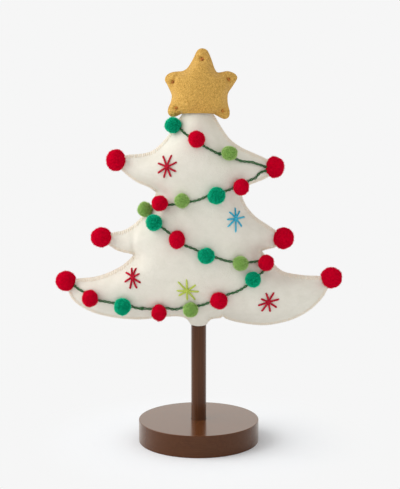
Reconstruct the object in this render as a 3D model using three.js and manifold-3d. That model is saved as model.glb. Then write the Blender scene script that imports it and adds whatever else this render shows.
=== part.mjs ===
// A tabletop christmas tree, in millimetres: a stuffed felt tree on a painted wooden stand, with a
// corded garland of felt balls, embroidered snowflakes and a stuffed felt star.
// The origin is the centre of the underside of the base, +Z is up and the tree faces -Y.
import * as THREE from "three";
import { mergeVertices } from "three/addons/utils/BufferGeometryUtils.js";
import Module from "manifold-3d";

const wasm = await Module();
wasm.setup();

// Fits
const TOUCH_GAP = 0.3; // left between pieces that touch
const CUT_OVERRUN = 5; // how far a cutting shape runs past what it cuts
const WELD_DISTANCE = 1e-4; // nearer corners of a mesh are one corner

// Base disc
const BASE_DIAMETER = 120;
const BASE_THICKNESS = 22;
const BASE_EDGE_RADIUS = 1;
const BASE_SOCKET_DEPTH = 13;

// Trunk dowel
const DOWEL_DIAMETER = 15;
const DOWEL_SHOWN_LENGTH = 96; // from the top of the base to the hem of the tree
const DOWEL_HIDDEN_LENGTH = 150; // from the hem up into the stuffing
const DOWEL_BEVEL_WIDTH = 1.2;

// Countersunk wood screw, from under the base into the dowel
const SCREW_DIAMETER = 4;
const SCREW_LENGTH = 32;
const SCREW_POINT_LENGTH = 5;
const SCREW_HEAD_DIAMETER = 8;
const SCREW_HEAD_SINK = 1; // from the underside of the base to the head
const SCREW_SLOT_WIDTH = 1;
const SCREW_SLOT_DEPTH = 1.2;

// Stuffed tree
const TREE_HALF_WIDTH = 131; // from the centre line to the middle of the lowest tip balls
const TREE_HEIGHT = 232; // from the hem to the top, which the star hides
const TREE_CROWN = 38; // how far the stuffing could swell in a very wide cushion
const FELT_THICKNESS = 1.8;
const SEAM_WIDTH = 2.8; // the flat edge that the overcast stitches hold together
const HEM_EASE = 2; // how much wider the hem's arch is than the dowel on each side

// Stuffed star
const STAR_WIDTH = 70;
const STAR_HEIGHT = 63; // from its opening to its top point
const STAR_CROWN = 42;
const STAR_FELT_THICKNESS = 1.3;
const STAR_SEAM_WIDTH = 1.2;
const STAR_ARCH_EASE = 1.2; // between the tree's neck and the arch of the star's opening
const TIP_IN_STAR = 24; // how far the top of the tree goes up into the star
const STAR_TUFT_DEPTH = 5; // from the middle plane to a drawn-in knot
const STAR_KNOT_DIAMETER = 3;

// Balls and cord
const GARLAND_BALL_DIAMETER = 15;
const TIP_BALL_DIAMETER = 20;
const BALL_SINK = 1.2; // how far a ball is pressed into the felt
const CORD_DIAMETER = 2.2;
const CORD_REST = 0.5; // from the felt to the cord, whose straight steps then clear it

// Embroidery
const FLAKE_THREAD_DIAMETER = 1.2;
const FLAKE_ARMS = 8;

// Fineness of the meshes
const TREE_EDGE_STEP = 8.5;
const TREE_MIDDLE_STEP = 17;
const STAR_EDGE_STEP = 5;
const STAR_MIDDLE_STEP = 8;
const CORD_STEP = 6;
const CORD_SIDES = 8;
const THREAD_SIDES = 5;
const FLAKE_STEPS = 2; // along each arm
const ROUND_SIDES = 40;
const EDGE_ROUND_STEPS = 3;
const BALL_DETAIL = 2;
const KNOT_DETAIL = 1;
const SWELL_SWEEPS = 1500; // enough for the skin to settle
const REST_HALVINGS = 24; // of the way from the felt to a place well clear of it
const MOST_STRETCH_SHARE = 1.7; // the thickness of steep felt, measured straight through

// Worked out from the driving sizes
const HEM_LEVEL = BASE_THICKNESS + DOWEL_SHOWN_LENGTH;
const STAR_LEVEL = HEM_LEVEL + TREE_HEIGHT - TIP_IN_STAR;
const HEM_HALF_WIDTH = DOWEL_DIAMETER / 2 + HEM_EASE;

// Colours
const PAINTED_WOOD = { color: 0x5c4233, roughness: 0.45, metalness: 0 };
const STEEL = { color: 0xb8b8b4, roughness: 0.35, metalness: 1 };
const CREAM_FELT = { color: 0xe6e1d3, roughness: 0.95, metalness: 0 };
const GOLD_FELT = { color: 0xc9a055, roughness: 0.9, metalness: 0 };
const STUFFING = { color: 0xf4f2ec, roughness: 1, metalness: 0 };
const CORD_GREEN = { color: 0x1c5234, roughness: 0.9, metalness: 0 };
const KNOT_THREAD = { color: 0xb8702c, roughness: 0.8, metalness: 0 };
const BALL_FELT = {
  red: { color: 0xb40c28, roughness: 0.95, metalness: 0 },
  teal: { color: 0x109069, roughness: 0.95, metalness: 0 },
  light_green: { color: 0x80a160, roughness: 0.95, metalness: 0 },
};
const FLAKE_THREAD = {
  red: { color: 0xc22038, roughness: 0.7, metalness: 0 },
  blue: { color: 0x3ca0c8, roughness: 0.7, metalness: 0 },
  lime: { color: 0xafbc69, roughness: 0.7, metalness: 0 },
};

// The tree's edge, in shares: sideways of TREE_HALF_WIDTH, upwards of TREE_HEIGHT from the hem.
// It goes round from the top by the left. Each list is a smooth run, and a notch lies between two.
const UPPER_LEFT_SHARES = [
  [0.004, 1.0], [-0.042, 0.989], [-0.073, 0.961], [-0.098, 0.927], [-0.123, 0.897],
  [-0.142, 0.879], [-0.178, 0.846], [-0.218, 0.813], [-0.267, 0.78], [-0.317, 0.753],
  [-0.369, 0.737], [-0.443, 0.729], [-0.532, 0.725], [-0.573, 0.716], [-0.588, 0.694],
  [-0.58, 0.671], [-0.557, 0.656], [-0.515, 0.635], [-0.454, 0.612], [-0.371, 0.592],
  [-0.315, 0.569],
];
const MIDDLE_LEFT_SHARES = [
  [-0.315, 0.569], [-0.34, 0.532], [-0.374, 0.5], [-0.417, 0.469], [-0.486, 0.431],
  [-0.567, 0.405], [-0.641, 0.397], [-0.683, 0.385], [-0.697, 0.366], [-0.687, 0.35],
  [-0.662, 0.341], [-0.608, 0.322], [-0.515, 0.309], [-0.485, 0.303],
];
const LOWER_LEFT_SHARES = [
  [-0.485, 0.303], [-0.522, 0.28], [-0.589, 0.25], [-0.691, 0.222], [-0.792, 0.205],
  [-0.916, 0.198], [-0.96, 0.188], [-0.977, 0.168], [-0.976, 0.141], [-0.95, 0.11],
  [-0.882, 0.079], [-0.782, 0.052], [-0.627, 0.032], [-0.458, 0.025], [-0.346, 0.03],
  [-0.234, 0.035], [-0.163, 0.035], [-0.105, 0.021],
];
const PUCKER_SHARES = [[0.103, 0.019], [0.137, 0.024], [0.161, 0.028], [0.184, 0.037]];
const LOWER_RIGHT_SHARES = [
  [0.184, 0.037], [0.208, 0.026], [0.315, 0.011], [0.488, 0.0], [0.626, 0.011],
  [0.735, 0.031], [0.842, 0.067], [0.928, 0.115], [0.963, 0.148], [0.977, 0.172],
  [0.971, 0.196], [0.939, 0.208], [0.803, 0.212], [0.673, 0.223], [0.622, 0.234],
  [0.58, 0.254], [0.537, 0.277], [0.469, 0.32],
];
const MIDDLE_RIGHT_SHARES = [
  [0.469, 0.32], [0.513, 0.328], [0.574, 0.337], [0.605, 0.352], [0.61, 0.373],
  [0.597, 0.396], [0.569, 0.409], [0.512, 0.431], [0.439, 0.458], [0.379, 0.492],
  [0.344, 0.522], [0.321, 0.556], [0.316, 0.58],
];
const UPPER_RIGHT_SHARES = [
  [0.316, 0.58], [0.384, 0.603], [0.444, 0.616], [0.507, 0.632], [0.536, 0.649],
  [0.542, 0.672], [0.533, 0.695], [0.504, 0.709], [0.409, 0.733], [0.31, 0.759],
  [0.23, 0.793], [0.176, 0.834], [0.124, 0.882], [0.108, 0.898], [0.084, 0.929],
  [0.064, 0.961], [0.038, 0.989], [0.004, 1.0],
];

// The star's sewn edge, in shares of its width and height: round from the right end of its opening
// over the top to the left end. The opening itself is the straight line between the two ends.
const STAR_SHARES = [
  [0.217, 0.0], [0.269, -0.032], [0.329, -0.067], [0.379, -0.078], [0.423, -0.051],
  [0.439, -0.002], [0.436, 0.06], [0.421, 0.121], [0.411, 0.183], [0.409, 0.273],
  [0.423, 0.335], [0.46, 0.395], [0.496, 0.456], [0.531, 0.517], [0.543, 0.565],
  [0.514, 0.611], [0.466, 0.641], [0.404, 0.657], [0.321, 0.641], [0.267, 0.638],
  [0.241, 0.668], [0.216, 0.729], [0.189, 0.819], [0.156, 0.91], [0.121, 0.976],
  [0.06, 1.003], [0.004, 0.987], [-0.03, 0.94], [-0.056, 0.879], [-0.1, 0.789],
  [-0.153, 0.702], [-0.216, 0.659], [-0.284, 0.652], [-0.36, 0.641], [-0.42, 0.611],
  [-0.456, 0.565], [-0.463, 0.51], [-0.436, 0.456], [-0.384, 0.335], [-0.369, 0.273],
  [-0.384, 0.183], [-0.419, 0.09], [-0.423, 0.014], [-0.383, -0.038], [-0.327, -0.044],
  [-0.266, -0.016], [-0.237, 0.0],
];
const STAR_KNOT_SHARES = {
  top: [0.049, 0.835],
  upper_left: [-0.353, 0.494],
  upper_right: [0.409, 0.532],
  lower_left: [-0.306, 0.098],
  lower_right: [0.33, 0.056],
};

// Balls, snowflakes and cord, in shares of the tree as its edge is
const GARLAND_BALL_SHARES = [
  ["teal", -0.189, 0.853], ["red", -0.015, 0.799], ["light_green", 0.224, 0.742],
  ["red", 0.311, 0.601], ["teal", 0.13, 0.568], ["light_green", -0.122, 0.547],
  ["red", -0.285, 0.535], ["light_green", -0.399, 0.501], ["teal", -0.328, 0.455],
  ["red", -0.159, 0.386], ["teal", 0.055, 0.319], ["light_green", 0.309, 0.286],
  ["red", 0.497, 0.284], ["teal", 0.4, 0.217], ["red", 0.15, 0.128],
  ["light_green", -0.06, 0.088], ["red", -0.294, 0.074], ["teal", -0.565, 0.099],
  ["red", -0.808, 0.131],
];
const TIP_BALL_SHARES = {
  upper_left: [-0.614, 0.705],
  upper_right: [0.565, 0.675],
  middle_left: [-0.73, 0.378],
  middle_right: [0.635, 0.374],
  lower_left: [-1, 0.19],
  lower_right: [1, 0.204],
};
// The last number is the reach of an arm, as a share of TREE_HALF_WIDTH.
const SNOWFLAKE_SHARES = {
  red_upper: ["red", -0.23, 0.684, 0.078],
  blue: ["blue", 0.271, 0.468, 0.07],
  lime: ["lime", -0.086, 0.168, 0.08],
  red_left: ["red", -0.49, 0.221, 0.07],
  red_right: ["red", 0.518, 0.117, 0.078],
};
const CORD_SHARES = [
  [-0.165, 0.85], [-0.136, 0.84], [-0.07, 0.808], [-0.016, 0.792], [0.032, 0.771],
  [0.097, 0.751], [0.149, 0.736], [0.222, 0.725], [0.259, 0.714], [0.325, 0.702],
  [0.391, 0.697], [0.459, 0.684], [0.496, 0.677], [0.524, 0.681], [0.545, 0.671],
  [0.524, 0.659], [0.496, 0.66], [0.444, 0.652], [0.408, 0.633], [0.364, 0.623],
  [0.312, 0.606], [0.252, 0.596], [0.193, 0.584], [0.13, 0.572], [0.072, 0.567],
  [0.003, 0.55], [-0.063, 0.541], [-0.123, 0.533], [-0.177, 0.529], [-0.225, 0.525],
  [-0.285, 0.521], [-0.335, 0.513], [-0.358, 0.493], [-0.358, 0.472], [-0.336, 0.45],
  [-0.276, 0.435], [-0.203, 0.405], [-0.159, 0.38], [-0.1, 0.361], [0.003, 0.336],
  [0.054, 0.319], [0.12, 0.311], [0.186, 0.298], [0.253, 0.29], [0.312, 0.284],
  [0.379, 0.284], [0.44, 0.283], [0.483, 0.271], [0.491, 0.25], [0.446, 0.232],
  [0.401, 0.21], [0.36, 0.192], [0.29, 0.167], [0.202, 0.149], [0.151, 0.133],
  [0.091, 0.122], [0.04, 0.11], [-0.012, 0.103], [-0.064, 0.098], [-0.109, 0.098],
  [-0.154, 0.089], [-0.191, 0.087], [-0.239, 0.093], [-0.295, 0.091], [-0.348, 0.088],
  [-0.415, 0.089], [-0.467, 0.091], [-0.503, 0.099], [-0.566, 0.104], [-0.626, 0.111],
  [-0.689, 0.115], [-0.748, 0.121], [-0.807, 0.136], [-0.86, 0.152], [-0.914, 0.166],
  [-0.942, 0.173],
];

// Solids
const part = new THREE.Group();

function toSolid(geometry) {
  const bare = geometry.index ? geometry.toNonIndexed() : geometry.clone();
  bare.deleteAttribute("normal");
  bare.deleteAttribute("uv");
  const merged = mergeVertices(bare, WELD_DISTANCE);
  return new wasm.Manifold(
    new wasm.Mesh({
      numProp: 3,
      vertProperties: merged.attributes.position.array,
      triVerts: new Uint32Array(merged.index.array),
    }),
  );
}

function toGeometry(solid) {
  const made = solid.getMesh();
  const geometry = new THREE.BufferGeometry();
  geometry.setAttribute("position", new THREE.BufferAttribute(made.vertProperties, 3));
  geometry.setIndex(new THREE.BufferAttribute(made.triVerts, 1));
  geometry.computeVertexNormals();
  return geometry;
}

// A cut can free a crumb at a thin edge, so the largest body is the piece.
function largestBody(solid) {
  return solid.decompose().reduce((a, b) => (a.volume() > b.volume() ? a : b));
}

function addPiece(name, solid, finish) {
  const piece = new THREE.Mesh(toGeometry(solid), new THREE.MeshStandardMaterial(finish));
  piece.name = name;
  part.add(piece);
}

// A turned solid on the Z axis: the profile's points are [radius, height] from bottom to top.
function turned(profile) {
  const points = profile.map(([radius, height]) => new THREE.Vector2(radius, height));
  return toSolid(new THREE.LatheGeometry(points, ROUND_SIDES).rotateX(Math.PI / 2));
}

function quarterRound(radius, centre, from) {
  const arc = new THREE.EllipseCurve(...centre, radius, radius, from, from + Math.PI / 2);
  return arc.getPoints(EDGE_ROUND_STEPS).map((point) => [point.x, point.y]);
}

function ballAt(centre, diameter, detail) {
  const ball = new THREE.IcosahedronGeometry(diameter / 2, detail);
  return toSolid(ball.translate(centre.x, centre.y, centre.z));
}

// A tube of so many flat sides along points in space
function tubeAlong(points, diameter, sides, steps) {
  const corners = Array.from({ length: sides }, (_, i) => {
    const angle = (2 * Math.PI * i) / sides;
    return new THREE.Vector2(Math.cos(angle), Math.sin(angle)).multiplyScalar(diameter / 2);
  });
  const path = new THREE.CatmullRomCurve3(points, false, "centripetal");
  const extrusion = { steps, extrudePath: path };
  return toSolid(new THREE.ExtrudeGeometry(new THREE.Shape(corners), extrusion));
}

// Flat geometry of an edge: points are Vector2, with x sideways and y upwards
function distanceToLoop(point, loop) {
  const distances = loop.map((start, i) => {
    const side = loop[(i + 1) % loop.length].clone().sub(start);
    const along = point.clone().sub(start).dot(side) / side.lengthSq();
    const nearest = start.clone().addScaledVector(side, THREE.MathUtils.clamp(along, 0, 1));
    return nearest.distanceTo(point);
  });
  return Math.min(...distances);
}

function isInside(point, loop) {
  const crossings = loop.filter((start, i) => {
    const end = loop[(i + 1) % loop.length];
    if (start.y > point.y === end.y > point.y) return false;
    const share = (point.y - start.y) / (end.y - start.y);
    return point.x < THREE.MathUtils.lerp(start.x, end.x, share);
  });
  return crossings.length % 2 === 1;
}

function insetLoop(loop, width) {
  return loop.map((point, i) => {
    const before = loop[(i + loop.length - 1) % loop.length];
    const after = loop[(i + 1) % loop.length];
    const inTurn = point.clone().sub(before).normalize();
    const outTurn = after.clone().sub(point).normalize();
    const inward = new THREE.Vector2(-inTurn.y - outTurn.y, inTurn.x + outTurn.x).normalize();
    const miter = Math.max(inward.dot(new THREE.Vector2(-inTurn.y, inTurn.x)), 0.5);
    return point.clone().addScaledVector(inward, width / miter);
  });
}

// Points that fill a loop: an even row just inside it, and then further apart towards the middle
function fillLoop(loop, edgeStep, middleStep, kept) {
  const box = new THREE.Box2().setFromPoints(loop);
  const grid = edgeStep / 3;
  const firstRow = edgeStep / 2;
  const candidates = [];
  for (let row = 0; box.min.y + row * grid < box.max.y; row++) {
    for (let column = 0; box.min.x + column * grid < box.max.x; column++) {
      // a small sideways swing keeps four points from lying on one circle
      const swing = 0.5 + 0.25 * Math.sin(5 * row + 3 * column);
      const point = new THREE.Vector2(box.min.x + (column + swing) * grid, box.min.y + row * grid);
      if (isInside(point, loop)) candidates.push({ point, depth: distanceToLoop(point, loop) });
    }
  }
  candidates.sort((a, b) => a.depth - b.depth);
  insetLoop(loop, firstRow)
    .filter((point) => isInside(point, loop))
    .reverse()
    .forEach((point) => candidates.unshift({ point, depth: distanceToLoop(point, loop) }));
  const points = [...kept];
  candidates.forEach(({ point, depth }) => {
    if (depth < 0.9 * firstRow) return;
    const step = Math.min(0.55 * edgeStep + 0.45 * depth, middleStep);
    if (points.every((other) => other.distanceTo(point) > step)) points.push(point);
  });
  return points;
}

function circleHolds(corners, point) {
  const [a, b, c] = corners.map((corner) => corner.clone().sub(point));
  const determinant =
    a.lengthSq() * b.cross(c) - b.lengthSq() * a.cross(c) + c.lengthSq() * a.cross(b);
  return determinant > 0;
}

// Delaunay triangles of the points, each turning left, by adding one point after another
function triangulate(points) {
  const box = new THREE.Box2().setFromPoints(points);
  const middle = box.getCenter(new THREE.Vector2());
  const reach = 30 * box.getSize(new THREE.Vector2()).length();
  const frame = [
    new THREE.Vector2(middle.x - reach, middle.y - reach),
    new THREE.Vector2(middle.x + reach, middle.y - reach),
    new THREE.Vector2(middle.x, middle.y + reach),
  ];
  const all = [...points, ...frame];
  let triangles = [[points.length, points.length + 1, points.length + 2]];
  points.forEach((point, index) => {
    const hit = triangles.filter((t) => circleHolds(t.map((corner) => all[corner]), point));
    const sides = hit.flatMap(([a, b, c]) => [[a, b], [b, c], [c, a]]);
    const rim = sides.filter(([a, b]) => !sides.some(([c, d]) => a === d && b === c));
    triangles = triangles.filter((t) => !hit.includes(t));
    rim.forEach(([a, b]) => triangles.push([a, b, index]));
  });
  return triangles.filter((t) => t.every((corner) => corner < points.length));
}

// Heights of a skin that air would swell between fixed points. A narrow part comes out nearly
// round, and a wide one levels off below the crown.
function swell(points, triangles, fixed, crown) {
  const neighbours = points.map(() => new Set());
  triangles.forEach((t) => t.forEach((a) => t.forEach((b) => a !== b && neighbours[a].add(b))));
  const spans = points.map((point, i) => {
    const squares = [...neighbours[i]].map((j) => point.distanceToSquared(points[j]));
    return squares.reduce((sum, square) => sum + square, 0) / squares.length / 4;
  });
  const toSkin = (height) => ((height * crown) / (crown - height)) ** 2 / 2;
  const skin = points.map((_, i) => (fixed.has(i) ? toSkin(fixed.get(i)) : 0));
  for (let sweep = 0; sweep < SWELL_SWEEPS; sweep++) {
    points.forEach((_, i) => {
      if (fixed.has(i)) return;
      const around = [...neighbours[i]].reduce((sum, j) => sum + skin[j], 0);
      skin[i] = around / neighbours[i].size + spans[i];
    });
  }
  return skin.map((value) => {
    const swollen = Math.sqrt(2 * value);
    return (swollen * crown) / (swollen + crown);
  });
}

// A closed body between two heights over the same triangles, where front lies on the -Y side
function slab(points, triangles, loop, front, back) {
  const corner = (i, height) => [points[i].x, height[i], points[i].y];
  const positions = triangles.flatMap(([a, b, c]) => [
    corner(a, front), corner(b, front), corner(c, front),
    corner(a, back), corner(c, back), corner(b, back),
  ]);
  loop.forEach((a, i) => {
    const b = loop[(i + 1) % loop.length];
    positions.push(corner(b, front), corner(a, front), corner(a, back));
    positions.push(corner(b, front), corner(a, back), corner(b, back));
  });
  const geometry = new THREE.BufferGeometry();
  geometry.setAttribute("position", new THREE.Float32BufferAttribute(positions.flat(), 3));
  return toSolid(geometry);
}

// A stuffed shape of two felt panels that are sewn round the rim. Each rim point has its place and
// its rise: zero where the panels are sewn, and more where they stand open round another piece.
function stuffedShape({ rim, seam, felt, crown, edgeStep, middleStep, tufts = [], tuftDepth = 0 }) {
  const edge = rim.map((point) => point.at);
  const inner = insetLoop(edge, seam);
  const filled = fillLoop(inner, edgeStep, middleStep, tufts);
  const points = [...edge, ...inner, ...filled];
  const count = edge.length;
  const strip = edge.flatMap((_, a) => {
    const b = (a + 1) % count;
    return [[a, b, count + a], [b, count + b, count + a]];
  });
  const cells = triangulate([...inner, ...filled])
    .map((t) => t.map((corner) => corner + count))
    .filter(([a, b, c]) => {
      const middle = points[a].clone().add(points[b]).add(points[c]).divideScalar(3);
      return isInside(middle, inner);
    });
  const triangles = [...strip, ...cells];

  const fixed = new Map();
  rim.forEach((point, i) => {
    fixed.set(i, point.rise);
    if (point.rise === 0) fixed.set(count + i, 0);
  });
  tufts.forEach((_, i) => fixed.set(2 * count + i, tuftDepth));
  const heights = swell(points, triangles, fixed, crown);

  const skin = new THREE.BufferGeometry();
  const place = points.flatMap((point, i) => [point.x, -heights[i], point.y]);
  skin.setAttribute("position", new THREE.Float32BufferAttribute(place, 3));
  skin.setIndex(triangles.flat());
  skin.computeVertexNormals();
  const stretch = points.map((_, i) =>
    Math.min(1 / -skin.attributes.normal.getY(i), MOST_STRETCH_SHARE),
  );

  const inside = heights.map((height) => height + TOUCH_GAP / 2);
  const outside = inside.map((height, i) => height + felt * stretch[i]);
  const clear = outside.map((height, i) => height + TOUCH_GAP * stretch[i]);
  const filling = heights.map((height, i) => height - TOUCH_GAP * stretch[i]);
  const bound = Math.max(...outside) + CUT_OVERRUN;
  const flip = (list) => list.map((height) => -height);
  const flat = (height) => points.map(() => height);
  const rimLoop = edge.map((_, i) => i);
  const seamLoop = inner.map((_, i) => count + i);
  const grown = [...insetLoop(edge, -TOUCH_GAP), ...points.slice(count)];

  const frontHalf = slab(points, cells, seamLoop, flip(filling), flat(bound));
  const backHalf = slab(points, cells, seamLoop, flat(-bound), filling);
  const facets = triangles.map((t) => {
    const corners = t.map((i) => new THREE.Vector3(points[i].x, -outside[i], points[i].y));
    return new THREE.Triangle(...corners);
  });
  return {
    front: slab(points, triangles, rimLoop, flip(outside), flip(inside)),
    back: slab(points, triangles, rimLoop, inside, outside),
    stuffing: frontHalf.intersect(backHalf),
    envelope: slab(grown, triangles, rimLoop, flip(clear), clear),
    facets,
    peak: Math.max(...outside),
    flange: TOUCH_GAP / 2 + felt,
  };
}

// How far the front of a stuffed shape stands before the middle plane at a place
function frontHeight(shape, place) {
  const across = new THREE.Vector3(place.x, 0, place.y);
  const flatCorner = (corner) => corner.clone().setY(0);
  const facet = shape.facets.find(({ a, b, c }) =>
    new THREE.Triangle(flatCorner(a), flatCorner(b), flatCorner(c)).containsPoint(across),
  );
  if (!facet) return shape.flange;
  const plane = facet.getPlane(new THREE.Plane());
  const ray = new THREE.Ray(across.clone().setY(-2 * shape.peak), new THREE.Vector3(0, 1, 0));
  return -ray.intersectPlane(plane, new THREE.Vector3()).y;
}

// The centre of a round piece that is pushed back onto the front until it is this far from it
function restOnFront(shape, place, reach) {
  const centre = new THREE.Vector3(place.x, 0, place.y);
  const nearest = new THREE.Vector3();
  const beside = shape.facets.filter(({ a, b, c }) => {
    const box = new THREE.Box3().setFromPoints([a, b, c]).expandByScalar(reach);
    return box.clampPoint(centre, nearest).setY(0).distanceTo(centre) === 0;
  });
  let near = frontHeight(shape, place);
  let far = shape.peak + 2 * reach;
  for (let step = 0; step < REST_HALVINGS; step++) {
    centre.y = -(near + far) / 2;
    const gap = Math.min(
      ...beside.map((facet) => facet.closestPointToPoint(centre, nearest).distanceTo(centre)),
    );
    if (gap > reach) far = -centre.y;
    else near = -centre.y;
  }
  return centre;
}

// A thread or cord laid along places on the front, every second of which becomes a point. Each
// point stands as far forward as its neighbours need, so that the straight steps clear the felt.
function layOnFront(shape, places, reach) {
  const laid = places.map((place) => restOnFront(shape, place, reach));
  return laid
    .map((point, i) => {
      const around = laid.slice(Math.max(i - 1, 0), i + 2).map((other) => other.y);
      return point.clone().setY(Math.min(...around));
    })
    .filter((_, i) => i % 2 === 0);
}

// Rims
function onTree([across, up]) {
  return new THREE.Vector2(across * TREE_HALF_WIDTH, HEM_LEVEL + up * TREE_HEIGHT);
}

function onStar([across, up]) {
  return new THREE.Vector2(across * STAR_WIDTH, STAR_LEVEL + up * STAR_HEIGHT);
}

// Evenly spaced points along a smooth run, without its last one, which starts the next run
function alongRun(places, step) {
  const corners = places.map((place) => new THREE.Vector3(place.x, place.y, 0));
  const curve = new THREE.CatmullRomCurve3(corners, false, "centripetal");
  const count = Math.max(1, Math.round(curve.getLength() / step));
  return curve
    .getSpacedPoints(count)
    .slice(0, -1)
    .map((point) => ({ at: new THREE.Vector2(point.x, point.y), rise: 0 }));
}

// An opening between two ends of a rim: the panels stand open in an arch round what goes through
function archBetween(start, end, peak, step) {
  const count = 2 * Math.ceil(start.distanceTo(end) / step / 2);
  return Array.from({ length: count }, (_, i) => {
    const share = i / count;
    const rise = i === 0 ? 0 : peak * Math.sqrt(1 - (2 * share - 1) ** 2);
    return { at: start.clone().lerp(end, share), rise };
  });
}

// Stand
const socketRadius = DOWEL_DIAMETER / 2 + TOUCH_GAP;
const socketFloor = BASE_THICKNESS - BASE_SOCKET_DEPTH;
const screwHoleRadius = SCREW_DIAMETER / 2 + TOUCH_GAP;
const screwHeadRadius = SCREW_HEAD_DIAMETER / 2;
const headConeHeight = screwHeadRadius - SCREW_DIAMETER / 2;
const baseRadius = BASE_DIAMETER / 2;

const countersinkMouth = screwHeadRadius + TOUCH_GAP;
const countersinkTop = SCREW_HEAD_SINK + countersinkMouth - screwHoleRadius;
const baseProfile = [
  [countersinkMouth, 0],
  ...quarterRound(BASE_EDGE_RADIUS, [baseRadius - BASE_EDGE_RADIUS, BASE_EDGE_RADIUS], -Math.PI / 2),
  ...quarterRound(
    BASE_EDGE_RADIUS,
    [baseRadius - BASE_EDGE_RADIUS, BASE_THICKNESS - BASE_EDGE_RADIUS],
    0,
  ),
  [socketRadius, BASE_THICKNESS],
  [socketRadius, socketFloor],
  [screwHoleRadius, socketFloor],
  [screwHoleRadius, countersinkTop],
  [countersinkMouth, SCREW_HEAD_SINK],
  [countersinkMouth, 0],
];
addPiece("base_disc", turned(baseProfile), PAINTED_WOOD);

const dowelRadius = DOWEL_DIAMETER / 2;
const dowelFoot = socketFloor + TOUCH_GAP;
const dowelTop = HEM_LEVEL + DOWEL_HIDDEN_LENGTH;
const screwTip = SCREW_HEAD_SINK + SCREW_LENGTH;
const pilotTop = screwTip + TOUCH_GAP;
const dowelProfile = [
  [screwHoleRadius, dowelFoot],
  [dowelRadius - DOWEL_BEVEL_WIDTH, dowelFoot],
  [dowelRadius, dowelFoot + DOWEL_BEVEL_WIDTH],
  [dowelRadius, dowelTop - DOWEL_BEVEL_WIDTH],
  [dowelRadius - DOWEL_BEVEL_WIDTH, dowelTop],
  [0, dowelTop],
  [0, pilotTop],
  [screwHoleRadius, pilotTop - SCREW_POINT_LENGTH],
  [screwHoleRadius, dowelFoot],
];
addPiece("trunk_dowel", turned(dowelProfile), PAINTED_WOOD);

const screwProfile = [
  [0, SCREW_HEAD_SINK],
  [screwHeadRadius, SCREW_HEAD_SINK],
  [SCREW_DIAMETER / 2, SCREW_HEAD_SINK + headConeHeight],
  [SCREW_DIAMETER / 2, screwTip - SCREW_POINT_LENGTH],
  [0, screwTip],
];
const slot = new THREE.BoxGeometry(
  SCREW_HEAD_DIAMETER + CUT_OVERRUN,
  SCREW_SLOT_WIDTH,
  2 * SCREW_SLOT_DEPTH,
);
slot.translate(0, 0, SCREW_HEAD_SINK);
addPiece("base_screw", turned(screwProfile).subtract(toSolid(slot)), STEEL);

// Tree
const hemLeft = new THREE.Vector2(-HEM_HALF_WIDTH, HEM_LEVEL);
const hemRight = new THREE.Vector2(HEM_HALF_WIDTH, HEM_LEVEL);
const treeRuns = [
  UPPER_LEFT_SHARES.map(onTree),
  MIDDLE_LEFT_SHARES.map(onTree),
  [...LOWER_LEFT_SHARES.map(onTree), hemLeft],
  [hemRight, ...PUCKER_SHARES.map(onTree)],
  LOWER_RIGHT_SHARES.map(onTree),
  MIDDLE_RIGHT_SHARES.map(onTree),
  UPPER_RIGHT_SHARES.map(onTree),
];
const treeRims = treeRuns.map((run) => alongRun(run, TREE_EDGE_STEP));
const hemPeak = dowelRadius + 3 * TOUCH_GAP;
treeRims.splice(3, 0, archBetween(hemLeft, hemRight, hemPeak, TREE_EDGE_STEP / 2));
const tree = stuffedShape({
  rim: treeRims.flat(),
  seam: SEAM_WIDTH,
  felt: FELT_THICKNESS,
  crown: TREE_CROWN,
  edgeStep: TREE_EDGE_STEP,
  middleStep: TREE_MIDDLE_STEP,
});

const dowelRoom = turned([
  [0, HEM_LEVEL - CUT_OVERRUN],
  [socketRadius, HEM_LEVEL - CUT_OVERRUN],
  [socketRadius, dowelTop + TOUCH_GAP],
  [0, dowelTop + TOUCH_GAP],
]);
addPiece("tree_front_felt", largestBody(tree.front.subtract(dowelRoom)), CREAM_FELT);
addPiece("tree_back_felt", largestBody(tree.back.subtract(dowelRoom)), CREAM_FELT);
addPiece("tree_stuffing", largestBody(tree.stuffing.subtract(dowelRoom)), STUFFING);

// Star
const openingRight = onStar(STAR_SHARES[0]);
const openingLeft = onStar(STAR_SHARES[STAR_SHARES.length - 1]);
const neckDepth = frontHeight(tree, new THREE.Vector2(0, STAR_LEVEL));
const starArch = archBetween(openingLeft, openingRight, neckDepth + STAR_ARCH_EASE, STAR_EDGE_STEP);
const star = stuffedShape({
  rim: [...alongRun(STAR_SHARES.map(onStar), STAR_EDGE_STEP), ...starArch],
  seam: STAR_SEAM_WIDTH,
  felt: STAR_FELT_THICKNESS,
  crown: STAR_CROWN,
  edgeStep: STAR_EDGE_STEP,
  middleStep: STAR_MIDDLE_STEP,
  tufts: Object.values(STAR_KNOT_SHARES).map(onStar),
  tuftDepth: STAR_TUFT_DEPTH,
});
addPiece("star_front_felt", largestBody(star.front.subtract(tree.envelope)), GOLD_FELT);
addPiece("star_back_felt", largestBody(star.back.subtract(tree.envelope)), GOLD_FELT);
addPiece("star_stuffing", largestBody(star.stuffing.subtract(tree.envelope)), STUFFING);

Object.entries(STAR_KNOT_SHARES).forEach(([place, share]) => {
  const centre = restOnFront(star, onStar(share), STAR_KNOT_DIAMETER / 2 + TOUCH_GAP);
  addPiece("star_knot_" + place, ballAt(centre, STAR_KNOT_DIAMETER, KNOT_DETAIL), KNOT_THREAD);
});

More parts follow.
